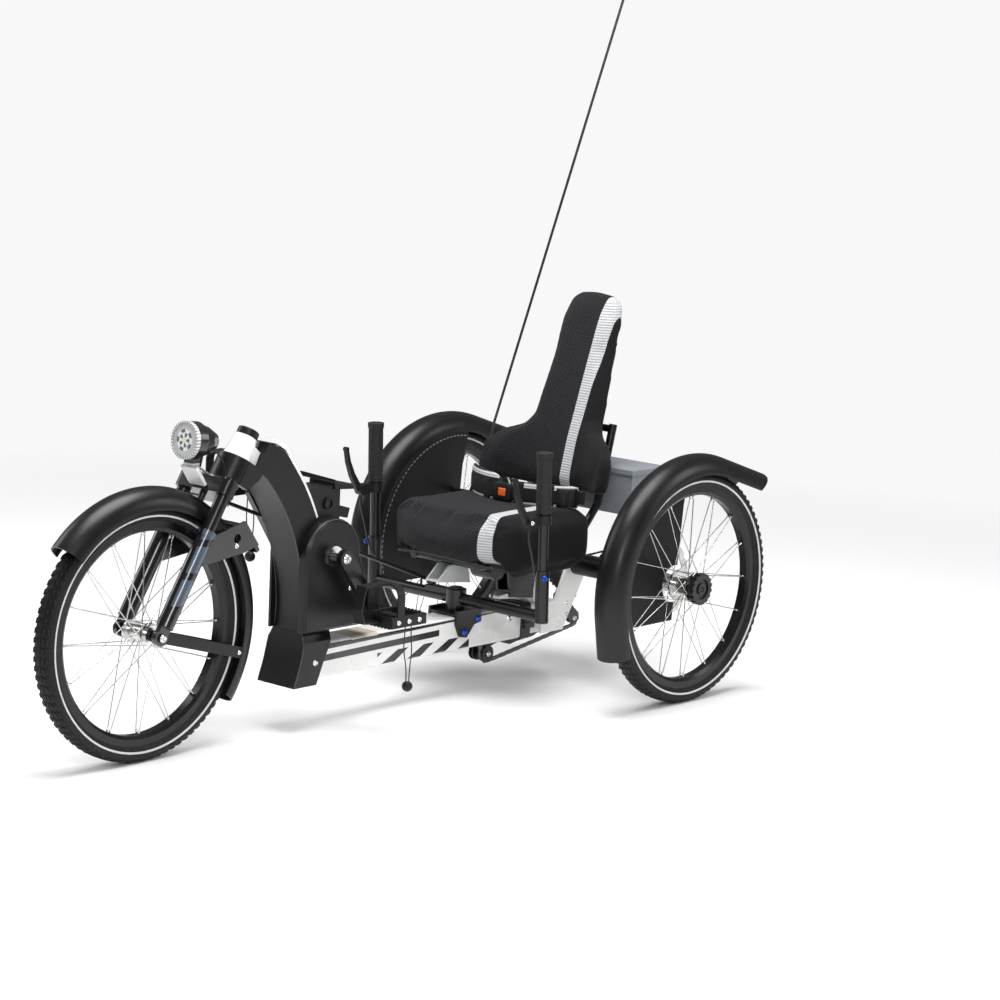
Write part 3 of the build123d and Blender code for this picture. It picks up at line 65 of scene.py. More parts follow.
ACROSS = (0, 1, 0)
SIDES = ((1, "left"), (-1, "right"))
WHEELS = (
    # piece, x, y, body, CAD tyre
    ("front", WHEELBASE, 0, "front_wheel", "front_tyre"),
    ("left", 0, HALF_TRACK, "left_wheel", "tyre_left"),
    ("right", 0, -HALF_TRACK, "right_wheel", "tyre_right"),
)


def at(x, y, z):
    """A point in metres in the part's frame, from millimetres."""
    return Vector(((x - ORIGIN_X) / 1000, y / 1000, z / 1000))


def frame_x(x):
    """X in metres in the part's frame, from millimetres."""
    return at(x, 0, 0).x


def arc_point(middle, level, radius, degrees):
    """The two coordinates of a point on a circle, in millimetres."""
    turn = math.radians(degrees)
    return middle + radius * math.cos(turn), level + radius * math.sin(turn)


# Camera, solved from the wheels in the photo

CAMERA_PLACE = (5037, 4205, 1504)
CAMERA_ANGLES = (41.06, 9.74, 2.58)


def place_camera():
    """Looks back at the trike from the front left, rolled a little as the photo is."""
    yaw, pitch, roll = map(math.radians, CAMERA_ANGLES)
    look = Vector((-math.cos(yaw) * math.cos(pitch), -math.sin(yaw) * math.cos(pitch), -math.sin(pitch)))
    right = Vector((-math.sin(yaw), math.cos(yaw), 0))
    up = right.cross(look)
    turned_right = right * math.cos(roll) + up * math.sin(roll)
    turned_up = up * math.cos(roll) - right * math.sin(roll)
    camera = new_object("camera", bpy.data.cameras.new("camera"))
    matrix = Matrix((turned_right, turned_up, -look)).transposed().to_4x4()
    matrix.translation = at(*CAMERA_PLACE)
    camera.matrix_world = matrix
    camera.data.sensor_width = 36
    camera.data.lens = 108.97
    camera.data.clip_end = 60
    scene.camera = camera


# Cords under the pedals

CORD_DIAMETER = 2.5
CORD_TOP = -11.3
CORD_FOOT = -140.2
PAIR_MIDDLE_Y = PEDAL_MIDDLE_Y - 4
STRAND_ROUTE = (
    # behind the pedal's pin, away from the middle of the two strands, share of the drop
    (48.2, 8, 0.0), (48.2, 8, 0.2), (49.2, 12, 0.5), (52, 4, 0.8), (52, 4, 1.0),
)


def pedal_place(side):
    """X and Z of a pedal's pin."""
    return arc_point(CRANK_X, CRANK_Z, side * CRANK_LENGTH, CRANK_ANGLE)


def make_cords():
    """The two strands that each ball hangs on, as lines through the points of the part's own route."""
    strands = []
    for side, word in SIDES:
        x, z = pedal_place(side)
        for hand in (-1, 1):
            route = [at(x - back, side * (PAIR_MIDDLE_Y + hand * away), z + CORD_TOP + (CORD_FOOT - CORD_TOP) * share)
                     for back, away, share in STRAND_ROUTE]
            strand = round_line(f"strand_{word}_{'outer' if hand > 0 else 'inner'}", route, CORD_DIAMETER / 2000)
            length = sum((b - a).length for a, b in zip(route, route[1:]))
            strands.append((strand, word, hand, route[0], length))
    return strands


def declare_cords(strands):
    """Each strand rides its pedal. The outer one of a pair stands for the part's loop."""
    for strand, word, hand, start, length in strands:
        strand.data.materials.append(MAT["cable"])
        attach(strand, word + "_pedal")
        if hand > 0:
            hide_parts("cord_" + word)


# Node helpers

class Tree:
    """Short calls for making shader nodes and joining them."""

    def __init__(self, tree):
        self.tree = tree

    def put(self, socket, value):
        """Joins an output to a socket, or gives it a plain value."""
        if isinstance(value, bpy.types.NodeSocket):
            self.tree.links.new(value, socket)
        else:
            socket.default_value = value

    def fill(self, node, inputs):
        """Puts several inputs of one node."""
        for key, value in inputs.items():
            self.put(node.inputs[key], value)
        return node

    def node(self, kind, inputs=None, **settings):
        """A new node with its settings and inputs."""
        made = self.tree.nodes.new(kind)
        for key, value in settings.items():
            setattr(made, key, value)
        return self.fill(made, inputs or {})

    def math(self, operation, a, b=0.0, clamp=False):
        """The result of one operation on two values."""
        return self.node("ShaderNodeMath", {0: a, 1: b}, operation=operation, use_clamp=clamp).outputs[0]

    def plus(self, a, b, clamp=False):
        """Sum, kept between 0 and 1 where clamp is set."""
        return self.math("ADD", a, b, clamp)

    def minus(self, a, b):
        return self.math("SUBTRACT", a, b)

    def times(self, first, *others):
        """Product of values or masks."""
        for other in others:
            first = self.math("MULTIPLY", first, other)
        return first

    def distance(self, a, b):
        """Length of a step of a one way and b across it."""
        return self.math("SQRT", self.plus(self.times(a, a), self.times(b, b)))

    def parts(self, vector):
        """X, Y and Z of a vector."""
        return self.node("ShaderNodeSeparateXYZ", {0: vector}).outputs

    def wrap(self, value, size):
        """A value that begins again at 0 after each size."""
        return self.node("ShaderNodeMath", {0: value, 1: size, 2: 0.0}, operation="WRAP").outputs[0]

    def noise(self, vector, scale, detail=3.0, roughness=0.5):
        """Cloudy noise between 0 and 1."""
        made = self.node("ShaderNodeTexNoise",
                         {"Vector": vector, "Scale": scale, "Detail": detail, "Roughness": roughness})
        return made.outputs["Fac"]

    def ramp(self, value, low, high, from_value=0.0, to_value=1.0):
        """Straight slope between two values, level outside them."""
        made = self.node("ShaderNodeMapRange", {0: value, 1: low, 2: high, 3: from_value, 4: to_value}, clamp=True)
        return made.outputs[0]

    def band(self, value, low, high, soft=0.0004):
        """1 where value lies between low and high."""
        return self.times(self.ramp(value, low - soft, low + soft), self.ramp(value, high + soft, high - soft))

    def reach(self, value, low, high):
        """Band between two X places given in millimetres."""
        return self.band(value, frame_x(low), frame_x(high))

    def mix(self, factor, a, b):
        """Colour a where factor is 0, colour b where it is 1."""
        return self.node("ShaderNodeMix", {0: factor, 6: a, 7: b}, data_type="RGBA").outputs[2]

    def bump(self, height, distance, strength=1.0, normal=None):
        """A normal bent by a height, on top of another normal where one is given."""
        inputs = {"Height": height, "Distance": distance, "Strength": strength}
        if normal is not None:
            inputs["Normal"] = normal
        return self.node("ShaderNodeBump", inputs).outputs[0]


def rgb(red, green, blue):
    """A colour with its alpha."""
    return (red, green, blue, 1.0)


def grey(value):
    """A neutral colour."""
    return rgb(value, value, value)


def scaled(base, red, green=None, blue=None):
    """A colour made lighter or darker, by one factor or by one for each part."""
    return rgb(base[0] * red, base[1] * (green or red), base[2] * (blue or red))


def material(name):
    """A new material, a Tree to add to it, its shader, and places in metres in the part's frame."""
    made = bpy.data.materials.new(name)
    made.use_nodes = True
    tree = Tree(made.node_tree)
    return made, tree, made.node_tree.nodes["Principled BSDF"], tree.node("ShaderNodeTexCoord").outputs["Object"]


def wear_group():
    """Shared wear: fine grain, smudges and dust that lies on faces looking up."""
    group = bpy.data.node_groups.new("wear", "ShaderNodeTree")
    for name, kind in (("Place", "NodeSocketVector"), ("Grain scale", "NodeSocketFloat")):
        group.interface.new_socket(name, in_out="INPUT", socket_type=kind)
    for name in ("Grain", "Smudge", "Dust"):
        group.interface.new_socket(name, in_out="OUTPUT", socket_type="NodeSocketFloat")
    tree = Tree(group)
    source = tree.node("NodeGroupInput").outputs
    place = source["Place"]
    grain = tree.noise(place, source["Grain scale"], detail=2.0)
    smudge = tree.ramp(tree.noise(place, 9.0, detail=4.0, roughness=0.6), 0.4, 0.7)
    facing_up = tree.parts(tree.node("ShaderNodeNewGeometry").outputs["Normal"])[2]
    height = tree.parts(place)[2]
    specks = tree.ramp(tree.noise(place, 160.0, detail=5.0, roughness=0.7), 0.5, 0.75)
    lying = tree.times(tree.ramp(facing_up, 0.5, 1.0), specks)
    splash = tree.times(tree.ramp(height, 0.22, 0.05), specks)
    dust = tree.plus(tree.times(lying, 0.35), tree.times(splash, 0.5), clamp=True)
    tree.node("NodeGroupOutput", {"Grain": grain, "Smudge": smudge, "Dust": dust})
    return group


WEAR = wear_group()
PALE_DUST = rgb(0.34, 0.33, 0.31)
GREY_DUST = rgb(0.16, 0.15, 0.14)


def wear(tree, place, grain_scale):
    """Outputs Grain, Smudge and Dust of the shared group."""
    return tree.node("ShaderNodeGroup", {"Place": place, "Grain scale": grain_scale}, node_tree=WEAR).outputs


def coated(name, base, rough, grain_scale, grain_depth, dust, metallic=0.0, coat=0.0, shine=0.5, decorate=None):
    """Painted, moulded or coated surface. decorate(tree, place, colour) may add a printed pattern, or painted light
    and shade as on the lamp.
    """
    made, tree, shader, place = material(name)
    worn = wear(tree, place, grain_scale)
    colour = decorate(tree, place, rgb(*base)) if decorate else rgb(*base)
    tree.fill(shader, {
        "Base Color": tree.mix(tree.times(worn["Dust"], dust), colour, PALE_DUST),
        "Roughness": tree.plus(rough, tree.times(worn["Smudge"], 0.09), clamp=True),
        "Metallic": metallic,
        "Specular IOR Level": shine,
        "Coat Weight": coat,
        "Coat Roughness": 0.08,
        "Normal": tree.bump(worn["Grain"], grain_depth / 1e6),
    })
    return made


def brushed(name, base, rough, flatten, scale):
    """Bare metal with fine scratches, flattened in height so that they lie level."""
    made, tree, shader, place = material(name)
    flattened = tree.node("ShaderNodeMapping", {"Vector": place, "Scale": (1.0, 1.0, flatten)}).outputs[0]
    lines = tree.noise(flattened, scale, detail=2.0)
    smudge = wear(tree, place, 700.0)["Smudge"]
    tree.fill(shader, {
        "Base Color": tree.mix(tree.times(smudge, 0.35), rgb(*base), scaled(base, 0.7, 0.69, 0.67)),
        "Metallic": 1.0,
        "Roughness": tree.plus(tree.times(lines, 0.2), rough, clamp=True),
        "Normal": tree.bump(lines, 0.00002),
    })
    return made


# Printed patterns, and painted light and shade on the lamp's ring and lens. Runs along X are in millimetres from the
# rear axle, all else is in metres

BAR_SIDE = (0.0335, 0.0345)
STRIPE_FALL = 0.018
UPPER_STRIPE = (0.1640, 0.1760)
LOWER_STRIPE = (0.1400, 0.1535)
LOWER_STRIPE_RUN = (425, 800)
BLOCK_PITCH = 0.078
BLOCK_SLANT = -2.0
BLOCK_START = (0.006, 0.007)
BLOCK_LENGTH = 0.047
BLOCK_NARROWING = -0.35
BLOCK_FOOT = 0.104
BLOCK_HEIGHTS = (0.1050, 0.1305)
BLOCK_RUN = (330, 612)
LABEL_RUN = (611, 689)
LABEL_FOOT = (0.1685, 0.1695)
STRIPE_BLACK = rgb(0.006, 0.006, 0.007)
LABEL_BEIGE = rgb(0.55, 0.5, 0.4)


def bar_print(tree, place, colour):
    """Two black stripes, a row of slanted blocks and a beige label on the sides of the main bar."""
    x, y, z = tree.parts(place)
    side = tree.ramp(tree.math("ABSOLUTE", y), *BAR_SIDE)
    rise = tree.plus(z, tree.times(x, STRIPE_FALL))
    upper = tree.band(rise, *UPPER_STRIPE)
    lower = tree.times(tree.band(rise, *LOWER_STRIPE), tree.reach(x, *LOWER_STRIPE_RUN))
    along = tree.wrap(tree.minus(tree.times(z, BLOCK_SLANT), x), BLOCK_PITCH)
    end = tree.plus(tree.times(tree.minus(z, BLOCK_FOOT), BLOCK_NARROWING), BLOCK_LENGTH)
    dashes = tree.times(tree.ramp(along, *BLOCK_START), tree.math("LESS_THAN", along, end),
                        tree.band(z, *BLOCK_HEIGHTS), tree.reach(x, *BLOCK_RUN))
    mask = tree.math("MAXIMUM", tree.math("MAXIMUM", upper, lower), dashes)
    label = tree.times(tree.reach(x, *LABEL_RUN), tree.ramp(z, *LABEL_FOOT))
    colour = tree.mix(tree.times(mask, side), colour, STRIPE_BLACK)
    return tree.mix(label, colour, LABEL_BEIGE)


LEG_SIDE = (0.0615, 0.0635)
LEG_SLANT = 0.15
LEG_PITCH = 0.066
LEG_BLOCK = (0.006, 0.058)
LEG_HEIGHTS = (0.31, 0.462)
LEG_BLUE = rgb(0.06, 0.085, 0.115)


def leg_print(tree, place, colour):
    """Dark blue-grey slanted blocks on the outer faces of the fork legs."""
    x, y, z = tree.parts(place)
    along = tree.wrap(tree.minus(z, tree.times(x, LEG_SLANT)), LEG_PITCH)
    block = tree.times(tree.band(along, *LEG_BLOCK), tree.band(z, *LEG_HEIGHTS))
    side = tree.ramp(tree.math("ABSOLUTE", y), *LEG_SIDE)
    return tree.mix(tree.times(block, side), colour, LEG_BLUE)


GUARD_LINE = (0.2345, 0.2365)
GUARD_DASH = (0.012, 0.04, 0.002)
GUARD_DASH_PITCH = 0.05


def guard_print(tree, place, colour):
    """Dashed light line near the edge of the wheel guards. A dash is measured in radians."""
    x, _, z = tree.parts(place)
    ahead = tree.minus(x, frame_x(0))
    up = tree.minus(z, AXLE_Z / 1000)
    line = tree.band(tree.distance(ahead, up), *GUARD_LINE)
    dash = tree.band(tree.wrap(tree.math("ARCTAN2", up, ahead), GUARD_DASH_PITCH), *GUARD_DASH)
    return tree.mix(tree.times(line, dash, 0.6), colour, grey(0.5))


LAMP_FRONT = (1134, 0, 613)
LAMP_TILT = 6
LAMP_RIBS = 36.0
LAMP_RING_DEPTH = (0.0095, 0.0085)


def lamp_offset(tree, place):
    """Step from the middle of the lamp's front."""
    return tree.node("ShaderNodeVectorMath", {0: place, 1: at(*LAMP_FRONT)}, operation="SUBTRACT").outputs[0]


def lamp_ring_and_painted_rib_shade(tree, place, colour):
    """Pale ribbed ring at the front of the dark lamp body, its ribs drawn in light and dark bands as painted light and
    shade.
    """
    offset = lamp_offset(tree, place)
    tilt = math.radians(LAMP_TILT)
    back = (-math.cos(tilt), 0.0, -math.sin(tilt))
    depth = tree.node("ShaderNodeVectorMath", {0: offset, 1: back}, operation="DOT_PRODUCT").outputs["Value"]
    _, y, z = tree.parts(offset)
    ribs = tree.math("COSINE", tree.times(tree.math("ARCTAN2", z, y), LAMP_RIBS))
    # the ribs are coloured dark and light by turns: painted light and shade on the ribs
    ring = tree.mix(tree.ramp(ribs, -0.6, 0.6), rgb(0.3, 0.31, 0.32), rgb(0.72, 0.73, 0.74))
    return tree.mix(tree.ramp(depth, *LAMP_RING_DEPTH), colour, ring)


LENS_FACETS = 5.0
LENS_RING_WAVE = 330.0
LENS_EDGE = (0.0205, 0.0215)
LENS_CORE = (0.0065, 0.0055)


def lens_painted_reflection(tree, place, colour):
    """Faceted bowl round a small lamp, as it shows through the lens. Its light and dark facets are painted
    reflections.
    """
    _, y, z = tree.parts(lamp_offset(tree, place))
    radius = tree.distance(y, z)
    # the light and dark facets of the bowl are painted reflections
    facet = tree.math("COSINE", tree.times(tree.math("ARCTAN2", z, y), LENS_FACETS))
    ring = tree.math("COSINE", tree.times(radius, LENS_RING_WAVE))
    painted_facet_reflection = tree.ramp(tree.times(facet, ring), -0.25, 0.1)
    shade = tree.mix(painted_facet_reflection, rgb(0.12, 0.125, 0.13), colour)
    shade = tree.mix(tree.ramp(radius, *LENS_EDGE), shade, rgb(0.5, 0.51, 0.52))
    return tree.mix(tree.ramp(radius, *LENS_CORE), shade, rgb(0.75, 0.72, 0.5))


LID_LINE = (0.4530, 0.4545, 0.0002)


def box_print(tree, place, colour):
    """Thin dark line under the lid's edge."""
    return tree.mix(tree.times(tree.band(tree.parts(place)[2], *LID_LINE), 0.5), colour, rgb(0.1, 0.11, 0.12))


def mesh_cells(tree, place, pitch):
    """1 in the middle of each hole of a hexagonal mesh, laid on the main plane that the face looks along most."""
    x, y, z = tree.parts(place)
    normal = tree.node("ShaderNodeTexCoord").outputs["Normal"]
    across, aside, up = [tree.math("ABSOLUTE", part) for part in tree.parts(normal)]
    ahead = tree.math("GREATER_THAN", across, tree.math("MAXIMUM", aside, up))
    over = tree.math("GREATER_THAN", up, tree.math("MAXIMUM", aside, across))
    u = tree.plus(x, tree.times(ahead, tree.minus(y, x)))
    v = tree.plus(z, tree.times(over, tree.minus(y, z)))
    wave = 4 * math.pi / math.sqrt(3) / pitch
    total = 0.0
    for degrees in (0, 60, 120):
        turn = math.radians(degrees)
        phase = tree.plus(tree.times(u, wave * math.cos(turn)), tree.times(v, wave * math.sin(turn)))
        total = tree.plus(tree.math("COSINE", phase), total)
    return tree.ramp(total, 0.1, 1.6)


CLOTH_ROUGH = 0.9
TAPE_WAVE = 1100.0


def woven(name, base, pitch, depth, stripe):
    """Spacer mesh: round holes between threads, the holes painted darker as shade in the hollows. stripe may give
    masks of silver tape and plain cloth.
    """
    made, tree, shader, place = material(name)
    hole = mesh_cells(tree, place, pitch)
    height = tree.minus(tree.times(tree.noise(place, 2600.0), 0.25), hole)
    # holes painted darker than the threads: painted shade in the mesh's hollows
    colour = tree.mix(hole, scaled(base, 1.6), scaled(base, 0.25))
    worn = tree.ramp(tree.noise(place, 11.0, roughness=0.55), 0.45, 0.75)
    colour = tree.mix(tree.times(worn, 0.2), colour, scaled(base, 1.9))
    rough = CLOTH_ROUGH
    if stripe:
        tape, plain = stripe(tree, place)
        colour = tree.mix(plain, colour, scaled(base, 0.7))
        x, _, z = tree.parts(place)
        up = tree.parts(tree.node("ShaderNodeTexCoord").outputs["Normal"])[2]
        along = tree.plus(z, tree.times(tree.math("GREATER_THAN", up, 0.6), tree.minus(x, z)))
        ribs = tree.math("COSINE", tree.times(along, TAPE_WAVE))
        silver = tree.mix(tree.ramp(ribs, -1.0, 1.0), rgb(0.3, 0.31, 0.32), rgb(0.56, 0.57, 0.58))
        colour = tree.mix(tape, colour, silver)
        height = tree.times(height, tree.minus(1.0, tree.math("MAXIMUM", tape, plain)))
        height = tree.plus(height, tree.times(tape, tree.times(ribs, 0.3)))
        rough = tree.minus(CLOTH_ROUGH, tree.times(tape, 0.4))
    tree.fill(shader, {
        "Base Color": colour,
        "Roughness": rough,
        "Specular IOR Level": 0.2,
        "Sheen Weight": 0.03,
        "Normal": tree.bump(height, depth),
    })
    return made


LOWER_TAPE = (0.3990, 0.4080)
UPPER_TAPE_HEIGHT = 0.0095
UPPER_TAPE_LEFT = 0.4385
UPPER_TAPE_STEP = 0.0115


def belt_tape(tree, place):
    """Two silver edges on the belt's pads. The right pad is the wider one."""
    _, y, z = tree.parts(place)
    right = tree.math("LESS_THAN", y, 0.0)
    foot = tree.plus(tree.times(right, UPPER_TAPE_STEP), UPPER_TAPE_LEFT)
    upper = tree.band(tree.minus(z, foot), 0.0, UPPER_TAPE_HEIGHT)
    return tree.math("MAXIMUM", tree.band(z, *LOWER_TAPE), upper), 0.0


HUB_CAP_SIDE = ((HALF_TRACK + 29.5) / 1000, (HALF_TRACK + 29.7) / 1000)


def hub_metal(name):
    """Steel hub and spokes, with the black cap on the outside of a rear hub."""
    made, tree, shader, place = material(name)
    worn = wear(tree, place, 900.0)
    cap = tree.ramp(tree.math("ABSOLUTE", tree.parts(place)[1]), *HUB_CAP_SIDE)
    bare = tree.mix(worn["Smudge"], rgb(0.66, 0.66, 0.65), rgb(0.5, 0.5, 0.49))
    tree.fill(shader, {
        "Base Color": tree.mix(cap, bare, rgb(0.01, 0.01, 0.011)),
        "Metallic": tree.minus(1.0, cap),
        "Roughness": tree.plus(tree.times(cap, 0.2), 0.22),
        "Normal": tree.bump(worn["Grain"], 0.00003),
    })
    return made


TAPE_HALF = 0.0155
PLAIN_FROM = (0.015, 0.016)


def tape_masks(tree, y, centre, front):
    """Masks of a tape along a line, and of the plain cloth left of it."""
    offset = tree.minus(y, centre)
    return tree.times(tree.band(offset, -TAPE_HALF, TAPE_HALF), front), tree.ramp(offset, *PLAIN_FROM)


def back_stripe(tree, place):
    """Silver tape down the front of the back, left of the middle, and plain cloth beyond it."""
    x, y, z = tree.parts(place)
    centre = tree.ramp(z, 0.52, 0.84, 0.038, 0.060)
    front = tree.ramp(tree.plus(x, tree.times(z, 0.2438)), frame_x(93), frame_x(99))
    return tape_masks(tree, y, centre, front)


def base_stripe(tree, place):
    """Silver tape over the seat from front to rear, and plain cloth beyond it."""
    x, y, z = tree.parts(place)
    centre = tree.ramp(x, frame_x(100), frame_x(430), 0.095, 0.118)
    return tape_masks(tree, y, centre, tree.ramp(z, 0.298, 0.302))


def rubber(name, base, rough, ridge=None):
    """Rubber with a dull bloom. ridge(tree, place) may give a height in metres."""
    made, tree, shader, place = material(name)
    worn = wear(tree, place, 900.0)
    colour = tree.mix(tree.times(worn["Smudge"], 0.5), rgb(*base), scaled(base, 1.7, 1.65, 1.6))
    normal = tree.bump(worn["Grain"], 0.0001)
    if ridge:
        normal = tree.bump(ridge(tree, place), 0.0005, 1.0, normal)
    tree.fill(shader, {
        "Base Color": tree.mix(tree.times(worn["Dust"], 0.3), colour, GREY_DUST),
        "Roughness": tree.plus(rough, tree.times(worn["Smudge"], 0.1), clamp=True),
        "Specular IOR Level": 0.35,
        "Normal": normal,
    })
    return made


def grip_ridges(tree, place):
    """Rings round the upright grips."""
    return tree.node("ShaderNodeTexWave", {"Vector": place, "Scale": 60.0}, bands_direction="Z").outputs["Fac"]


# Materials

COATED = (
    # key, name, colour, roughness, grain scale, grain depth in micrometres, dust, other values
    ("white", "white paint", (0.8, 0.8, 0.785), 0.22, 260, 40, 0.12, {"coat": 0.5}),
    ("white_bar", "white paint with stripes", (0.8, 0.8, 0.785), 0.24, 260, 40, 0.15,
     {"coat": 0.5, "decorate": bar_print}),
    ("plastic", "satin black plastic", (0.0045, 0.0047, 0.0055), 0.33, 1900, 40, 0.1, {"shine": 0.36}),
    ("guard", "black guard sheet", (0.004, 0.004, 0.0046), 0.45, 1300, 60, 0.1,
     {"shine": 0.25, "decorate": guard_print}),
    ("plastic_rough", "grained black plastic", (0.0055, 0.0055, 0.006), 0.45, 1300, 100, 0.12, {"shine": 0.36}),
    ("black", "black powder coat", (0.004, 0.004, 0.0045), 0.28, 1400, 60, 0.1, {"coat": 0.15, "shine": 0.42}),
    ("leg", "black fork paint", (0.006, 0.006, 0.007), 0.2, 500, 30, 0.08, {"coat": 0.5, "decorate": leg_print}),
    ("rim", "black anodised rim", (0.005, 0.005, 0.0055), 0.25, 1200, 40, 0.15, {"metallic": 0.3}),
    ("box", "blue-grey box", (0.22, 0.235, 0.255), 0.42, 1100, 100, 0.25, {"decorate": box_print}),
    ("grey_plate", "light grey plate", (0.42, 0.43, 0.43), 0.42, 900, 50, 0.15, {}),
    ("lamp", "black lamp body", (0.008, 0.008, 0.009), 0.25, 700, 30, 0.08, {"coat": 0.4, "decorate": lamp_ring_and_painted_rib_shade}),
    ("cable", "black cable jacket", (0.006, 0.006, 0.0065), 0.35, 1500, 30, 0.1, {}),
    ("reflex", "reflective tyre ring", (0.6, 0.61, 0.62), 0.38, 2600, 50, 0.2, {}),
    ("clear", "clear lens", (0.8, 0.81, 0.83), 0.12, 700, 30, 0.05, {"coat": 1.0, "decorate": lens_painted_reflection}),
    # a lighter black for the beads: a painted highlight along them
    ("edge", "worn plastic edge", (0.05, 0.05, 0.053), 0.3, 900, 30, 0.1, {}),
    ("reflector", "white reflector", (0.75, 0.76, 0.77), 0.15, 900, 200, 0.1, {"coat": 0.5}),
    ("orange", "orange button", (0.8, 0.12, 0.015), 0.35, 800, 40, 0.05, {}),
)
BRUSHED = (
    # key, name, colour, roughness, flattening, scratch scale
    ("steel", "brushed steel", (0.62, 0.62, 0.6), 0.24, 12, 900),
    ("bright", "bright steel", (0.74, 0.74, 0.73), 0.14, 6, 500),
    ("dark_steel", "dark steel", (0.2, 0.2, 0.2), 0.34, 5, 900),
    ("chain", "oiled chain steel", (0.13, 0.125, 0.12), 0.34, 1, 1500),
    ("blue", "blue anodised bolt", (0.03, 0.1, 0.55), 0.25, 6, 500),
)
WOVEN = (
    # key, name, colour, pitch of the holes, depth, stripe
    ("base_cloth", "seat mesh cloth", (0.011, 0.011, 0.0125), 0.0062, 0.0008, base_stripe),
    ("back_cloth", "back mesh cloth", (0.011, 0.011, 0.0125), 0.0062, 0.0008, back_stripe),
    ("piping", "piping cloth", (0.02, 0.02, 0.021), 0.0026, 0.0003, None),
    ("belt_pad", "belt pad cloth", (0.01, 0.01, 0.011), 0.0030, 0.0003, belt_tape),
    ("webbing", "belt webbing", (0.009, 0.009, 0.01), 0.0024, 0.0003, None),
)

MAT = {
    "hub": hub_metal("steel hub with black cap"),
    "tyre": rubber("tyre rubber", (0.0035, 0.0035, 0.004), 0.6),
    "rubber": rubber("grip rubber", (0.012, 0.012, 0.0125), 0.6, grip_ridges),
}
for key, *values, others in COATED:
    MAT[key] = coated(*values, **others)
for key, *values in BRUSHED:
    MAT[key] = brushed(*values)
for key, *values in WOVEN:
    MAT[key] = woven(*values)

NODE_MATERIALS = (
    # material, CAD nodes
    ("white", ("neck", "inner_bar", "rear_cheeks")),
    ("white_bar", ("main_bar",)),
    ("plastic", ("neck_shell", "boot", "crank_cover", "rear_fenders", "front_fender", "head_cap", "switch_box")),
    ("guard", ("wheel_guards",)),
    ("lamp", ("headlamp",)),
    ("clear", ("lamp_lens",)),
    ("reflector", ("front_reflector",)),
    ("plastic_rough", ("hand_controls", "pedal_left", "pedal_right", "side_mirror", "ball_left", "ball_right")),
    ("black", ("bar_clamp", "steer_stand", "seat_frame", "handlebar", "derailleur", "idlers", "crankset", "tie_rod",
               "fork", "rear_frame", "flag_pole")),
    ("leg", ("fork_sliders",)),
    ("rim", ("front_rim", "rim_left", "rim_right")),
    ("box", ("rear_box",)),
    ("grey_plate", ("seat_bracket",)),
    ("hub", ("front_hub", "hub_left", "hub_right")),
    ("steel", ("headset", "brake_calipers", "lamp_bracket")),
    ("bright", ("rotor_left", "rotor_right", "bottom_bracket")),
    ("dark_steel", ("cassette",)),
    ("chain", ("chain",)),
    ("rubber", ("grips",)),
    ("cable", ("control_cables", "cord_left", "cord_right")),
    ("base_cloth", ("seat_base",)),
    ("back_cloth", ("seat_back",)),
    ("webbing", ("lap_belt",)),
    ("tyre", ("front_tyre", "tyre_left", "tyre_right")),
)


def colour_nodes():
    """Gives each of the part's nodes its one material."""
    for key, names in NODE_MATERIALS:
        for name in names:
            paint(nodes[name].data, key)


# Mesh helpers

def paint(mesh, key, smooth=None):
    """Gives a mesh one material, and smooth or flat faces where that is asked."""
    mesh.materials.clear()
    mesh.materials.append(MAT[key])
    for face in mesh.polygons:
        face.material_index = 0
        if smooth is not None:
            face.use_smooth = smooth


def new_object(name, data):
    """An object in the scene."""
    made = bpy.data.objects.new(name, data)
    scene.collection.objects.link(made)
    return made


def new_piece(name, vertices, faces, key, smooth=True):
    """A mesh object made from plain lists, with its place in its vertices."""
    mesh = bpy.data.meshes.new(name)
    mesh.from_pydata([tuple(v) for v in vertices], [], faces)
    mesh.update()
    paint(mesh, key, smooth)
    return new_object(name, mesh)


def select_only(pieces):
    """Selects pieces, with the first of them active."""
    bpy.ops.object.select_all(action="DESELECT")
    for piece in pieces:
        piece.select_set(True)
    bpy.context.view_layer.objects.active = pieces[0]


def evaluated_mesh(piece):
    """A plain mesh of what modifiers or a curve's thickness make."""
    graph = bpy.context.evaluated_depsgraph_get()
    return bpy.data.meshes.new_from_object(piece.evaluated_get(graph))


def skin(rows, count, start=0, closed=False):
    """Four-sided faces between rows of count points. closed joins the last row to the first."""
    faces = []
    for row in range(rows if closed else rows - 1):
        here, there = start + row * count, start + (row + 1) % rows * count
        for index in range(count):
            after = (index + 1) % count
            faces.append((here + index, here + after, there + after, there + index))
    return faces


def caps(rows, count, start=0):
    """The faces that close the first and the last of some rows of points."""
    last = start + (rows - 1) * count
    return [tuple(reversed(range(start, start + count))), tuple(range(last, last + count))]


def outward(piece):
    """Turns all faces of a closed mesh outwards, after merging points that coincide."""
    work = bmesh.new()
    work.from_mesh(piece.data)
    bmesh.ops.remove_doubles(work, verts=work.verts, dist=1e-6)
    bmesh.ops.recalc_face_normals(work, faces=work.faces)
    work.to_mesh(piece.data)
    work.free()
    return piece


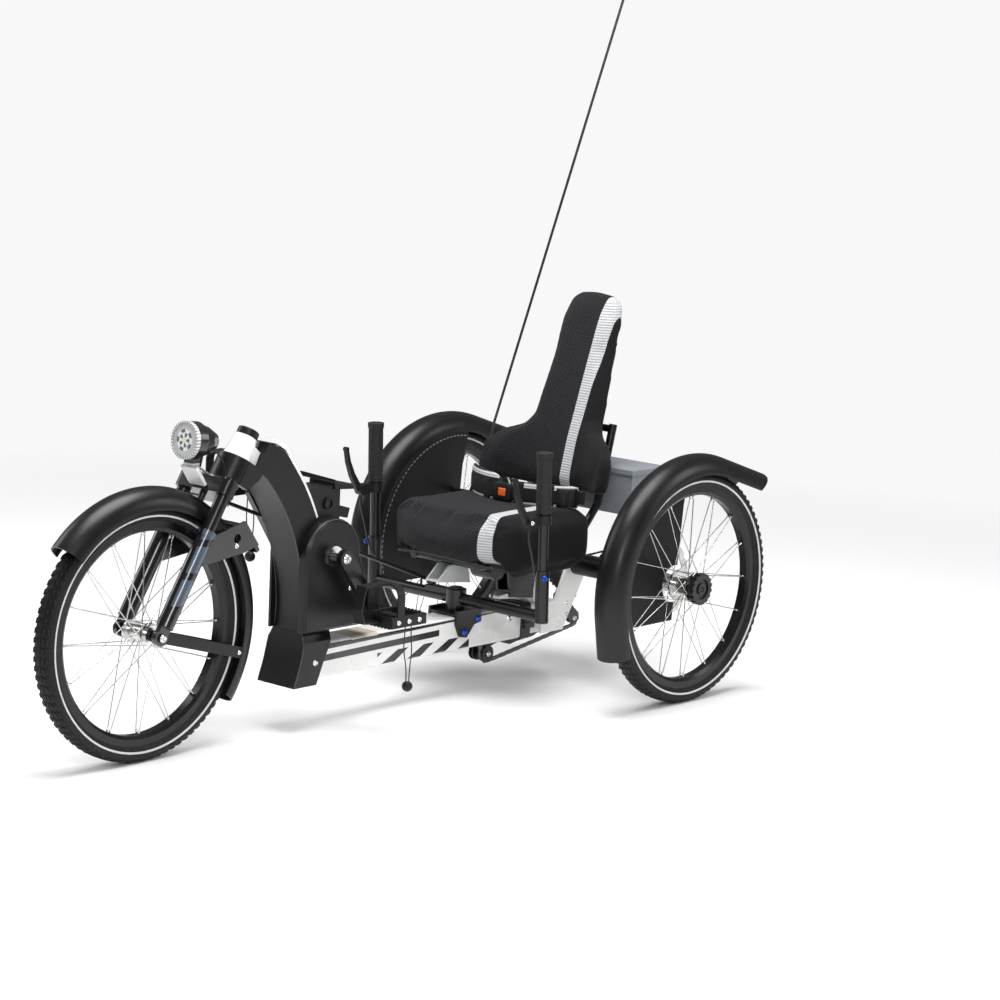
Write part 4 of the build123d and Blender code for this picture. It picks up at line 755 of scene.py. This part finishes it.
def ring_group():
    """Geometry Nodes tree that repeats its input about the Y axis."""
    group = bpy.data.node_groups.new("repeat about the axle", "GeometryNodeTree")
    sockets = (("Piece", "INPUT", "Geometry"), ("Count", "INPUT", "Int"), ("Finish", "INPUT", "Material"),
               ("Ring", "OUTPUT", "Geometry"))
    for name, way, kind in sockets:
        group.interface.new_socket(name, in_out=way, socket_type="NodeSocket" + kind)
    tree = Tree(group)
    source = tree.node("NodeGroupInput").outputs
    points = tree.node("GeometryNodePoints", {"Count": source["Count"]}).outputs[0]
    share = tree.math("DIVIDE", tree.node("GeometryNodeInputIndex").outputs[0], source["Count"])
    turn = tree.node("ShaderNodeCombineXYZ", {"Y": tree.times(share, 2 * math.pi)}).outputs[0]
    placed = tree.node("GeometryNodeInstanceOnPoints",
                       {"Points": points, "Instance": source["Piece"], "Rotation": turn}).outputs[0]
    realised = tree.node("GeometryNodeRealizeInstances", {0: placed}).outputs[0]
    finished = tree.node("GeometryNodeSetMaterial", {"Geometry": realised, "Material": source["Finish"]}).outputs[0]
    tree.node("NodeGroupOutput", {"Ring": finished})
    return group


RING = ring_group()


def ring_of(piece, count, key, x, y, z):
    """Repeats a piece drawn about the origin, then moves the plain result to an axle."""
    modifier = piece.modifiers.new("ring", "NODES")
    modifier.node_group = RING
    sockets = {item.name: item.identifier for item in RING.interface.items_tree if item.in_out == "INPUT"}
    modifier[sockets["Count"]] = count
    modifier[sockets["Finish"]] = MAT[key]
    mesh = evaluated_mesh(piece)
    old = piece.data
    piece.modifiers.clear()
    piece.data = mesh
    bpy.data.meshes.remove(old)
    mesh.transform(Matrix.Translation(at(x, y, z)))
    return piece


def join(name, pieces):
    """One mesh object out of several."""
    select_only(pieces)
    if len(pieces) > 1:
        bpy.ops.object.join()
    pieces[0].name = name
    pieces[0].data.name = name
    return pieces[0]


LUG_ROOT = -1.2
LUG_TAPER = 0.82
CORNERS = ((-1, -1), (1, -1), (1, 1), (-1, 1))


def lugs(table, key, name):
    """Small raised blocks from rows of (y, radius, width, length, height, skew), drawn above the origin."""
    vertices, faces = [], []
    for across, radius, width, length, height, skew in table:
        start = len(vertices)
        for level, grow in ((LUG_ROOT, 1.0), (height, LUG_TAPER)):
            for side, ahead in CORNERS:
                aside = across + side * width / 2 * grow
                run = ahead * length / 2 * grow + skew * side * width / 2
                up = math.sqrt(max(radius ** 2 - run ** 2, 1.0)) + level
                vertices.append((run / 1000, aside / 1000, up / 1000))
        faces += [(start, start + 1, start + 2, start + 3), (start + 7, start + 6, start + 5, start + 4)]
        for edge in range(4):
            after = (edge + 1) % 4
            faces.append((start + edge, start + 4 + edge, start + 4 + after, start + after))
    return new_piece(name, vertices, faces, key, smooth=False)


def turned(profile, steps, place, axis, key, name):
    """A closed profile of (along, radius), in millimetres, turned about an axis through a place."""
    axis = Vector(axis).normalized()
    side = axis.orthogonal().normalized()
    other = axis.cross(side)
    centre = at(*place)
    vertices = []
    for step in range(steps):
        angle = 2 * math.pi * step / steps
        ray = side * math.cos(angle) + other * math.sin(angle)
        for height, radius in profile:
            vertices.append(centre + axis * (height / 1000) + ray * (radius / 1000))
    return outward(new_piece(name, vertices, skin(steps, len(profile), closed=True), key))


BOLT_STEPS = 16
WASHER = 1.35
WASHER_TOP = 0.8


def bolt(place, axis, radius, height, key):
    """Washer and chamfered head with a round socket."""
    profile = (
        # along, radius
        (-1.0, 0), (-1.0, radius * WASHER), (WASHER_TOP, radius * WASHER), (WASHER_TOP, radius),
        (height - 0.6, radius), (height, radius - 0.7),
        (height, radius * 0.55), (height * 0.45, radius * 0.5), (height * 0.4, 0),
    )
    return turned(profile, BOLT_STEPS, place, axis, key, "bolt")


def swept(name, loops, key, smooth=True):
    """A closed skin over a row of closed loops of points."""
    vertices = [point for loop in loops for point in loop]
    rows, count = len(loops), len(loops[0])
    return outward(new_piece(name, vertices, skin(rows, count) + caps(rows, count), key, smooth))


def round_line(name, places, radius):
    """A curve object with a round section, in metres, from the first place to the last."""
    curve = bpy.data.curves.new(name, "CURVE")
    curve.dimensions = "3D"
    curve.bevel_depth = radius
    curve.bevel_resolution = 3
    curve.use_fill_caps = True
    spline = curve.splines.new("NURBS")
    spline.points.add(len(places) - 1)
    for point, place in zip(spline.points, places):
        point.co = (*place, 1.0)
    spline.order_u = 3
    spline.use_endpoint_u = True
    return new_object(name, curve)


def tube(name, points, radius, key):
    """A bent tube as a plain mesh, from points in millimetres."""
    line = round_line(name, [at(*point) for point in points], radius / 1000)
    line.data.resolution_u = 6
    mesh = evaluated_mesh(line)
    bpy.data.objects.remove(line)
    paint(mesh, key, smooth=True)
    return outward(new_object(name, mesh))


# Wheels

TYRE_CROWN = 248.4
TYRE_SIDE = (
    # across, radius, from the bead to beside the crown
    (13.0, 213), (14.0, 218.5), (16.5, 222), (19.5, 225.5), (21.2, 227.6), (21.9, 228.0), (22.9, 230.4),
    (22.7, 231.0), (23.3, 234), (22.4, 239), (19.5, 243.4), (14.5, 246.2), (8.0, 247.9),
)
TYRE_SEAT = ((-11, 211), (11, 211))
TYRE_STEPS = 144
REFLEX_RING = ((21.6, 226.8), (22.9, 227.2), (23.6, 230.6), (22.6, 231.2))
TREAD_COUNT = 84
TREAD = (
    # across, radius, width, length, height, skew
    (0.0, TYRE_CROWN, 6.0, 15.0, 1.5, 0.0),
    (9.0, 247.8, 8.0, 9.0, 1.5, 0.6),
    (-9.0, 247.8, 8.0, 9.0, 1.5, -0.6),
    (17.0, 245.2, 6.0, 11.0, 1.4, 0.9),
    (-17.0, 245.2, 6.0, 11.0, 1.4, -0.9),
)


def make_tyres():
    """Tyres with their tread and a reflective ring on each side."""
    far_side = [(-across, radius) for across, radius in reversed(TYRE_SIDE)]
    profile = [*TYRE_SIDE, (0.0, TYRE_CROWN), *far_side, *TYRE_SEAT]
    for name, x, y, body, cad in WHEELS:
        axle = (x, y, AXLE_Z)
        carcass = turned(profile, TYRE_STEPS, axle, ACROSS, "tyre", "carcass_" + name)
        tread = ring_of(lugs(TREAD, "tyre", "lugs_" + name), TREAD_COUNT, "tyre", *axle)
        rings = []
        for side in (-1, 1):
            ring = [(side * across, radius) for across, radius in REFLEX_RING]
            rings.append(turned(ring, TYRE_STEPS, axle, ACROSS, "reflex", "reflex_" + name))
        tyre = join("tread_" + name, [carcass, tread] + rings)
        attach(tyre, body)
        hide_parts(cad)


NIPPLE_SIDES = 6
NIPPLE_RADIUS = 1.9
NIPPLE_LEVELS = (-9.0, 1.0)
NIPPLE_Y = 4


def make_nipples():
    """Spoke nipples on the inner wall of each rim."""
    for name, x, y, body, _ in WHEELS:
        vertices, faces = [], []
        for side in (-1, 1):
            start = len(vertices)
            for height in NIPPLE_LEVELS:
                for step in range(NIPPLE_SIDES):
                    angle = 2 * math.pi * step / NIPPLE_SIDES
                    across = side * NIPPLE_Y + NIPPLE_RADIUS * math.sin(angle)
                    ahead = NIPPLE_RADIUS * math.cos(angle)
                    vertices.append((ahead / 1000, across / 1000, (RIM_INNER + height) / 1000))
            faces += skin(2, NIPPLE_SIDES, start) + caps(2, NIPPLE_SIDES, start)
        nipples = new_piece("nipples_" + name, vertices, faces, "bright")
        ring_of(nipples, SPOKES_PER_SIDE, "bright", x, y, AXLE_Z)
        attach(nipples, body)


# Seat

VOXEL = 0.0055
CLOTH_FRAMES = 20


def add_applied(piece, name, kind, **settings):
    """Applies one modifier at once."""
    modifier = piece.modifiers.new(name, kind)
    for key, value in settings.items():
        setattr(modifier, key, value)
    bpy.ops.object.modifier_apply(modifier=modifier.name)


def blow_up(cushion, cap, pressure):
    """Swells a closed cushion by cloth under pressure, and holds each point within cap of its old place."""
    before = [v.co.copy() for v in cushion.data.vertices]
    cloth = cushion.modifiers.new("cloth", "CLOTH")
    cloth.settings.use_pressure = True
    cloth.settings.uniform_pressure_force = pressure
    cloth.settings.effector_weights.gravity = 0
    cloth.settings.mass = 0.3
    cloth.settings.quality = 6
    scene.frame_start, scene.frame_end = 1, CLOTH_FRAMES
    for number in range(1, CLOTH_FRAMES + 1):
        scene.frame_set(number)
    graph = bpy.context.evaluated_depsgraph_get()
    blown = [v.co.copy() for v in cushion.evaluated_get(graph).data.vertices]
    cushion.modifiers.clear()
    for vertex, old, new in zip(cushion.data.vertices, before, blown):
        step = new - old
        if step.length > cap:
            step = step * (cap / step.length)
        vertex.co = old + step
    scene.frame_set(1)


def swollen(name, cad, key, cap, pressure, rounding):
    """A cushion grown from a CAD pad: remeshed, rounded, blown up, and made finer."""
    cushion = new_object(name, nodes[cad].data.copy())
    paint(cushion.data, key)
    outward(cushion)
    select_only([cushion])
    add_applied(cushion, "remesh", "REMESH", mode="VOXEL", voxel_size=VOXEL)
    add_applied(cushion, "round", "SMOOTH", factor=0.5, iterations=rounding)
    blow_up(cushion, cap, pressure)
    add_applied(cushion, "fine", "SUBSURF", levels=1, render_levels=1)
    paint(cushion.data, key, smooth=True)
    return cushion


CUSHIONS = (
    # piece, CAD pad, material, cap in metres, pressure, rounds of smoothing
    ("seat_cushion", "seat_base", "base_cloth", 0.018, 9.0, 105),
    ("back_cushion", "seat_back", "back_cloth", 0.009, 6.0, 34),
)


def make_seat():
    """The two cushions in place of the part's plain pads."""
    cushions = [(swollen(*row), row[1]) for row in CUSHIONS]
    for cushion, cad in cushions:
        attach(cushion, "frame")
        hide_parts(cad)


SEAT_HALF = 160
PIPING_Y = (160, 154, 140, 105, 60, 0, -60, -105, -140, -154, -160)
PIPING_FRONT = 424
PIPING_BOW = 54
PIPING_CORNER = 36
PIPING_FOOT = 288
PIPING_RISE = 22
PIPING_RADIUS = 2.6


def make_piping():
    """Corded edge under the seat's front roll, bowed forwards and up."""
    points = []
    for y in PIPING_Y:
        share = y / SEAT_HALF
        x = PIPING_FRONT - PIPING_BOW * share ** 2 - PIPING_CORNER * share ** 10
        points.append((x, y, PIPING_FOOT + PIPING_RISE * (1 - share ** 2)))
    piping = tube("seat_piping", points, PIPING_RADIUS, "piping")
    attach(piping, "frame")


# Lap belt, on the arc that the part's own belt follows

BELT_CENTRE_X = 11.9
BELT_RADIUS = 187.5
BELT_Z = 424
BAND_SIDES = 20
END_NARROWING = 0.18
BELT_PADS = (
    # name, start and end in degrees, height, thickness, material, outward, upward, puff, rows
    ("pad_right", -54, -5, 66, 16, "belt_pad", 0.0, 5.0, 0.6, 14),
    ("pad_left", 7, 52, 54, 15, "belt_pad", 0.0, -1.0, 0.6, 14),
)
BELT_STRAPS = (
    # the same columns
    ("strap", -56, 56, 27, 1.8, "webbing", 7.2, 0.0, 0.0, 40),
    ("buckle", -6, 8, 40, 9, "plastic_rough", 8.5, 0.0, 0.0, 4),
    ("button", -1, 4.5, 17, 3, "orange", 13.0, 0.0, 0.0, 3),
    ("adjuster", 38, 51, 40, 5, "plastic_rough", 10.5, 0.0, 0.0, 4),
    *[("loop", angle - 3.4, angle + 3.4, 52, 16, "webbing", 0.0, 0.0, 0.0, 3) for angle in (-40, -14, 13, 33)],
    *[("ladder", angle - 0.9, angle + 0.9, 32, 4, "plastic_rough", 13.6, 0.0, 0.0, 2) for angle in (40.5, 44.5, 48.5)],
)


def belt_piece(name, start, end, height, thickness, key, out, lift, puff, rows):
    """A band along the belt's arc with rounded edges. puff makes its middle thicker and its ends narrower."""
    loops = []
    for row in range(rows + 1):
        share = row / rows
        angle = start + (end - start) * share
        bulge = math.sin(math.pi * share) ** 0.5 if puff else 1.0
        half_height = height / 2 * (1 - END_NARROWING * (1 - bulge))
        half_thickness = thickness / 2 * (1 - puff * (1 - bulge))
        loop = []
        for step in range(BAND_SIDES):
            turn = 2 * math.pi * step / BAND_SIDES
            cos, sin = math.cos(turn), math.sin(turn)
            across = half_thickness * math.copysign(abs(cos) ** 0.6, cos)
            up = half_height * math.copysign(abs(sin) ** 0.35, sin)
            x, y = arc_point(BELT_CENTRE_X, 0, BELT_RADIUS + (out + across), angle)
            loop.append(at(x, y, BELT_Z + lift + up))
        loops.append(loop)
    return swept(name, loops, key)


def make_belt():
    """Two soft pads, and the webbing with its buckle, button and adjuster."""
    pads = join("belt_pads", [belt_piece(*row) for row in BELT_PADS])
    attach(pads, "frame")
    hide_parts("lap_belt")
    straps = join("belt_straps", [belt_piece(*row) for row in BELT_STRAPS])
    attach(straps, "frame")


# Strip on the neck, beads on the neck and the crank cover

NECK_OUTER = 466
STRIP_ANGLES = (23, 26, 29, 32, 35, 37.5)
STRIP_HEAD = ((896, 579), (924, 594))
STRIP_SECTION = (
    # y, height above the neck's edge
    (-36, -0.3), (-35, 7.0), (-31, 9.5), (31, 9.5), (35, 7.0), (36, -0.3),
)
BEAD_RADIUS = 1.3
COVER_RADIUS = 74
COVER_ANGLES = range(20, 181, 10)
COVER_SIDES = (("left", 57.6), ("right", -47.6))
COVER_FOOT = (642, 208)
NECK_FRONT = 397.5
SHELL_HALF = 37.5
NECK_EDGE = (
    # angle up the neck, distance from the middle: the boot's edge, then the shell's
    (-22.5, 51.5), (-18, 51.5), (-14, 51.5), (-10.5, 51.5), (-8, 45), (-6.5, 39.5),
    *[(angle, SHELL_HALF) for angle in (-3, 2, 7, 12, 17, 22, 27, 32, 37, 41, 44.5)],
)


def make_neck_strip():
    """White strip over the neck's upper edge."""
    path = [arc_point(WHEELBASE, AXLE_Z, NECK_OUTER, 180 - angle) for angle in STRIP_ANGLES] + list(STRIP_HEAD)
    loops = []
    for number, (x, z) in enumerate(path):
        before, after = path[max(number - 1, 0)], path[min(number + 1, len(path) - 1)]
        run = Vector((after[0] - before[0], 0, after[1] - before[1])).normalized()
        out = Vector((-run.z, 0, run.x))
        loops.append([at(x + out.x * rise, y, z + out.z * rise) for y, rise in STRIP_SECTION])
    strip = swept("neck_strip", loops, "white", smooth=False)
    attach(strip, "frame")


def make_beads():
    """Moulded beads round the crank cover and along the edges of the neck's boot and shell, in a lighter black that
    paints a highlight line on them.
    """
    for side, y in COVER_SIDES:
        arc = [arc_point(CRANK_X, CRANK_Z, COVER_RADIUS, angle) for angle in COVER_ANGLES]
        route = [(x, y, z) for x, z in (*arc, (CRANK_X - COVER_RADIUS, CRANK_Z - 10), COVER_FOOT)]
        bead = tube("cover_bead_" + side, route, BEAD_RADIUS, "edge")
        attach(bead, "frame")
    for sign, side in SIDES:
        route = []
        for angle, y in NECK_EDGE:
            x, z = arc_point(WHEELBASE, AXLE_Z, NECK_FRONT, 180 - angle)
            route.append((x, sign * y, z))
        bead = tube("neck_bead_" + side, route, BEAD_RADIUS, "edge")
        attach(bead, "frame")


# Bolts and cables

BOLTS = (
    # body, x, y, z, axis, radius, height, material, 2 where the other side has its mirror image
    ("frame", 810, 52, 141, ACROSS, 4.5, 4, "bright", 2),
    ("frame", 143, 44, 151, (0, 0, 1), 4.0, 4, "bright", 1),
    ("frame", 157, 44, 151, (0, 0, 1), 4.0, 4, "bright", 1),
    ("frame", 353, 41.3, 140, ACROSS, 5.0, 5, "blue", 2),
    ("frame", 311, 41.3, 166, ACROSS, 5.0, 5, "blue", 2),
    ("frame", 202, 35, 151, ACROSS, 5.5, 4, "bright", 1),
    ("frame", CRANK_X - 49, 60, 285, ACROSS, 3.2, 2, "bright", 1),
    ("frame", 82, 301, 298, ACROSS, 4.0, 4, "bright", 2),
    ("frame", 96, 301, 306, ACROSS, 4.0, 4, "bright", 2),
    ("frame", 250, 22, 76, ACROSS, 4.5, 3, "bright", 2),
    ("frame", -6, 7, 166, ACROSS, 4.5, 3, "bright", 1),
    ("frame", -52, 7, 114, ACROSS, 4.5, 3, "bright", 1),
    ("frame", 30, 50, 140, ACROSS, 4.0, 3, "bright", 2),
    ("frame", 30, 50, 165, ACROSS, 4.0, 3, "bright", 2),
    ("crank", CRANK_X, 98, CRANK_Z, ACROSS, 8.0, 3, "bright", 2),
    ("handlebar", 352, 255.5, 292, (0.35, 1, 0), 5.0, 5, "blue", 2),
    ("handlebar", 390.3, 249, 411, ACROSS, 3.6, 3, "bright", 2),
    ("left_wheel", 0, 393, AXLE_Z, ACROSS, 6.5, 4, "bright", 1),
    ("right_wheel", 0, -393, AXLE_Z, (0, -1, 0), 6.5, 4, "bright", 1),
    ("fork", WHEELBASE, 65, AXLE_Z, ACROSS, 6.0, 4, "bright", 2),
    ("fork", 1008, 38, 187, ACROSS, 3.4, 3, "bright", 2),
    ("fork", 1035, 50, 404, ACROSS, 3.8, 3, "bright", 2),
)


def make_bolts():
    """All small heads of one body as one piece."""
    for body in sorted({row[0] for row in BOLTS}):
        heads = []
        for x, y, z, (ahead, aside, up), radius, height, key, count in [row[1:] for row in BOLTS if row[0] == body]:
            for side in (1, -1)[:count]:
                heads.append(bolt((x, side * y, z), (ahead, side * aside, up), radius, height, key))
        whole = join("bolts_" + body, heads)
        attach(whole, body)


PEDAL_BOLT_STEPS = (-30, 0, 30)


def make_pedal_trim():
    """Three bright bolt heads on the outer end of each pedal."""
    for side, word in SIDES:
        x, z = pedal_place(side)
        heads = [bolt((x + step, side * PEDAL_END_Y, z), (0, side, 0), 4.0, 3, "bright") for step in PEDAL_BOLT_STEPS]
        whole = join("trim_" + word, heads)
        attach(whole, word + "_pedal")


BRAKE_CABLE = (
    # x, y on the left, z
    (92, 293, 318), (84, 288, 352), (40, 262, 366), (-12, 200, 330), (-30, 120, 288), (-12, 66, 270),
)
CABLE_RADIUS = 2.2
WIRE_RADIUS = 1.6
LAMP_WIRE = ((1062, 8, 590), (1044, 14, 570), (1040, 16, 548), (1052, 14, 531))


def make_cables():
    """Brake cables of the rear wheels and the lamp's wire."""
    for side, word in SIDES:
        cable = tube("brake_cable_" + word, [(x, side * y, z) for x, y, z in BRAKE_CABLE], CABLE_RADIUS, "cable")
        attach(cable, "frame")
    wire = tube("lamp_wire", LAMP_WIRE, WIRE_RADIUS, "cable")
    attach(wire, "fork")


# Floor and light, in metres

FLOOR_HALF = 14.0
FLOOR_Z = -0.0005
FADE = (1.3, 3.4)
BACKDROP = grey(0.94)
SKY_SHADES = (0.26, 0.52)
GLOSSY_DIMMING = 0.55
LIGHTS = (
    # name, place, aim, size across, size along, watts
    ("overhead", (0.2, 0.3, 3.2), (0.1, 0.0, 0.3), 2.2, 2.0, 130),
    ("key", (2.8, 3.4, 2.3), (0.1, 0.1, 0.4), 1.0, 1.0, 50),
    ("left rim", (-2.4, 2.6, 1.8), (0.0, 0.0, 0.4), 0.8, 1.6, 24),
    ("right rim", (1.2, -3.0, 2.0), (0.0, 0.0, 0.4), 1.2, 1.6, 26),
)


def make_floor():
    """A pale floor that fades into the backdrop away from the trike."""
    made, tree, shader, place = material("floor")
    MAT["floor"] = made
    floor = new_piece("floor", [(x * FLOOR_HALF, y * FLOOR_HALF, FLOOR_Z) for x, y in CORNERS], [(0, 1, 2, 3)],
                      "floor", smooth=False)
    tree.fill(shader, {
        "Base Color": tree.mix(tree.noise(place, 2.0, detail=2.0), grey(0.9), grey(0.93)),
        "Roughness": 0.6,
        "Specular IOR Level": 0.2,
    })
    x, y, _ = tree.parts(place)
    far = tree.ramp(tree.distance(x, y), *FADE)
    seen = tree.node("ShaderNodeLightPath").outputs["Is Camera Ray"]
    glow = tree.node("ShaderNodeEmission", {"Color": BACKDROP, "Strength": 1.0}).outputs[0]
    mixed = tree.node("ShaderNodeMixShader", {0: tree.times(far, seen), 1: shader.outputs[0], 2: glow}).outputs[0]
    output = [node for node in made.node_tree.nodes if node.type == "OUTPUT_MATERIAL"][0]
    tree.put(output.inputs[0], mixed)


def make_world():
    """The backdrop to the camera, and a dimmer sky to all else, dimmest to mirrored rays."""
    world = bpy.data.worlds.new("studio")
    scene.world = world
    world.use_nodes = True
    sky = Tree(world.node_tree)
    rays = sky.node("ShaderNodeLightPath").outputs
    height = sky.parts(sky.node("ShaderNodeTexCoord").outputs["Generated"])[2]
    shade = sky.times(sky.ramp(height, -0.2, 0.9, *SKY_SHADES),
                      sky.minus(1.0, sky.times(rays["Is Glossy Ray"], GLOSSY_DIMMING)))
    tint = sky.node("ShaderNodeCombineColor", {0: shade, 1: shade, 2: shade}).outputs[0]
    sky.fill(world.node_tree.nodes["Background"],
             {"Color": sky.mix(rays["Is Camera Ray"], tint, BACKDROP), "Strength": 1.0})


def make_lights():
    """Area lights, each turned to its aim."""
    for name, place, aim, across, length, watts in LIGHTS:
        lamp = bpy.data.lights.new(name, "AREA")
        lamp.shape = "RECTANGLE"
        lamp.size, lamp.size_y, lamp.energy = across, length, watts
        made = new_object(name, lamp)
        made.location = place
        made.rotation_euler = (Vector(aim) - Vector(place)).to_track_quat("-Z", "Y").to_euler()


place_camera()
strands = make_cords()
colour_nodes()
declare_cords(strands)
make_tyres()
make_nipples()
make_seat()
make_piping()
make_belt()
make_neck_strip()
make_beads()
make_bolts()
make_pedal_trim()
make_cables()
make_floor()
make_world()
make_lights()
scene.view_settings.view_transform = "Standard"
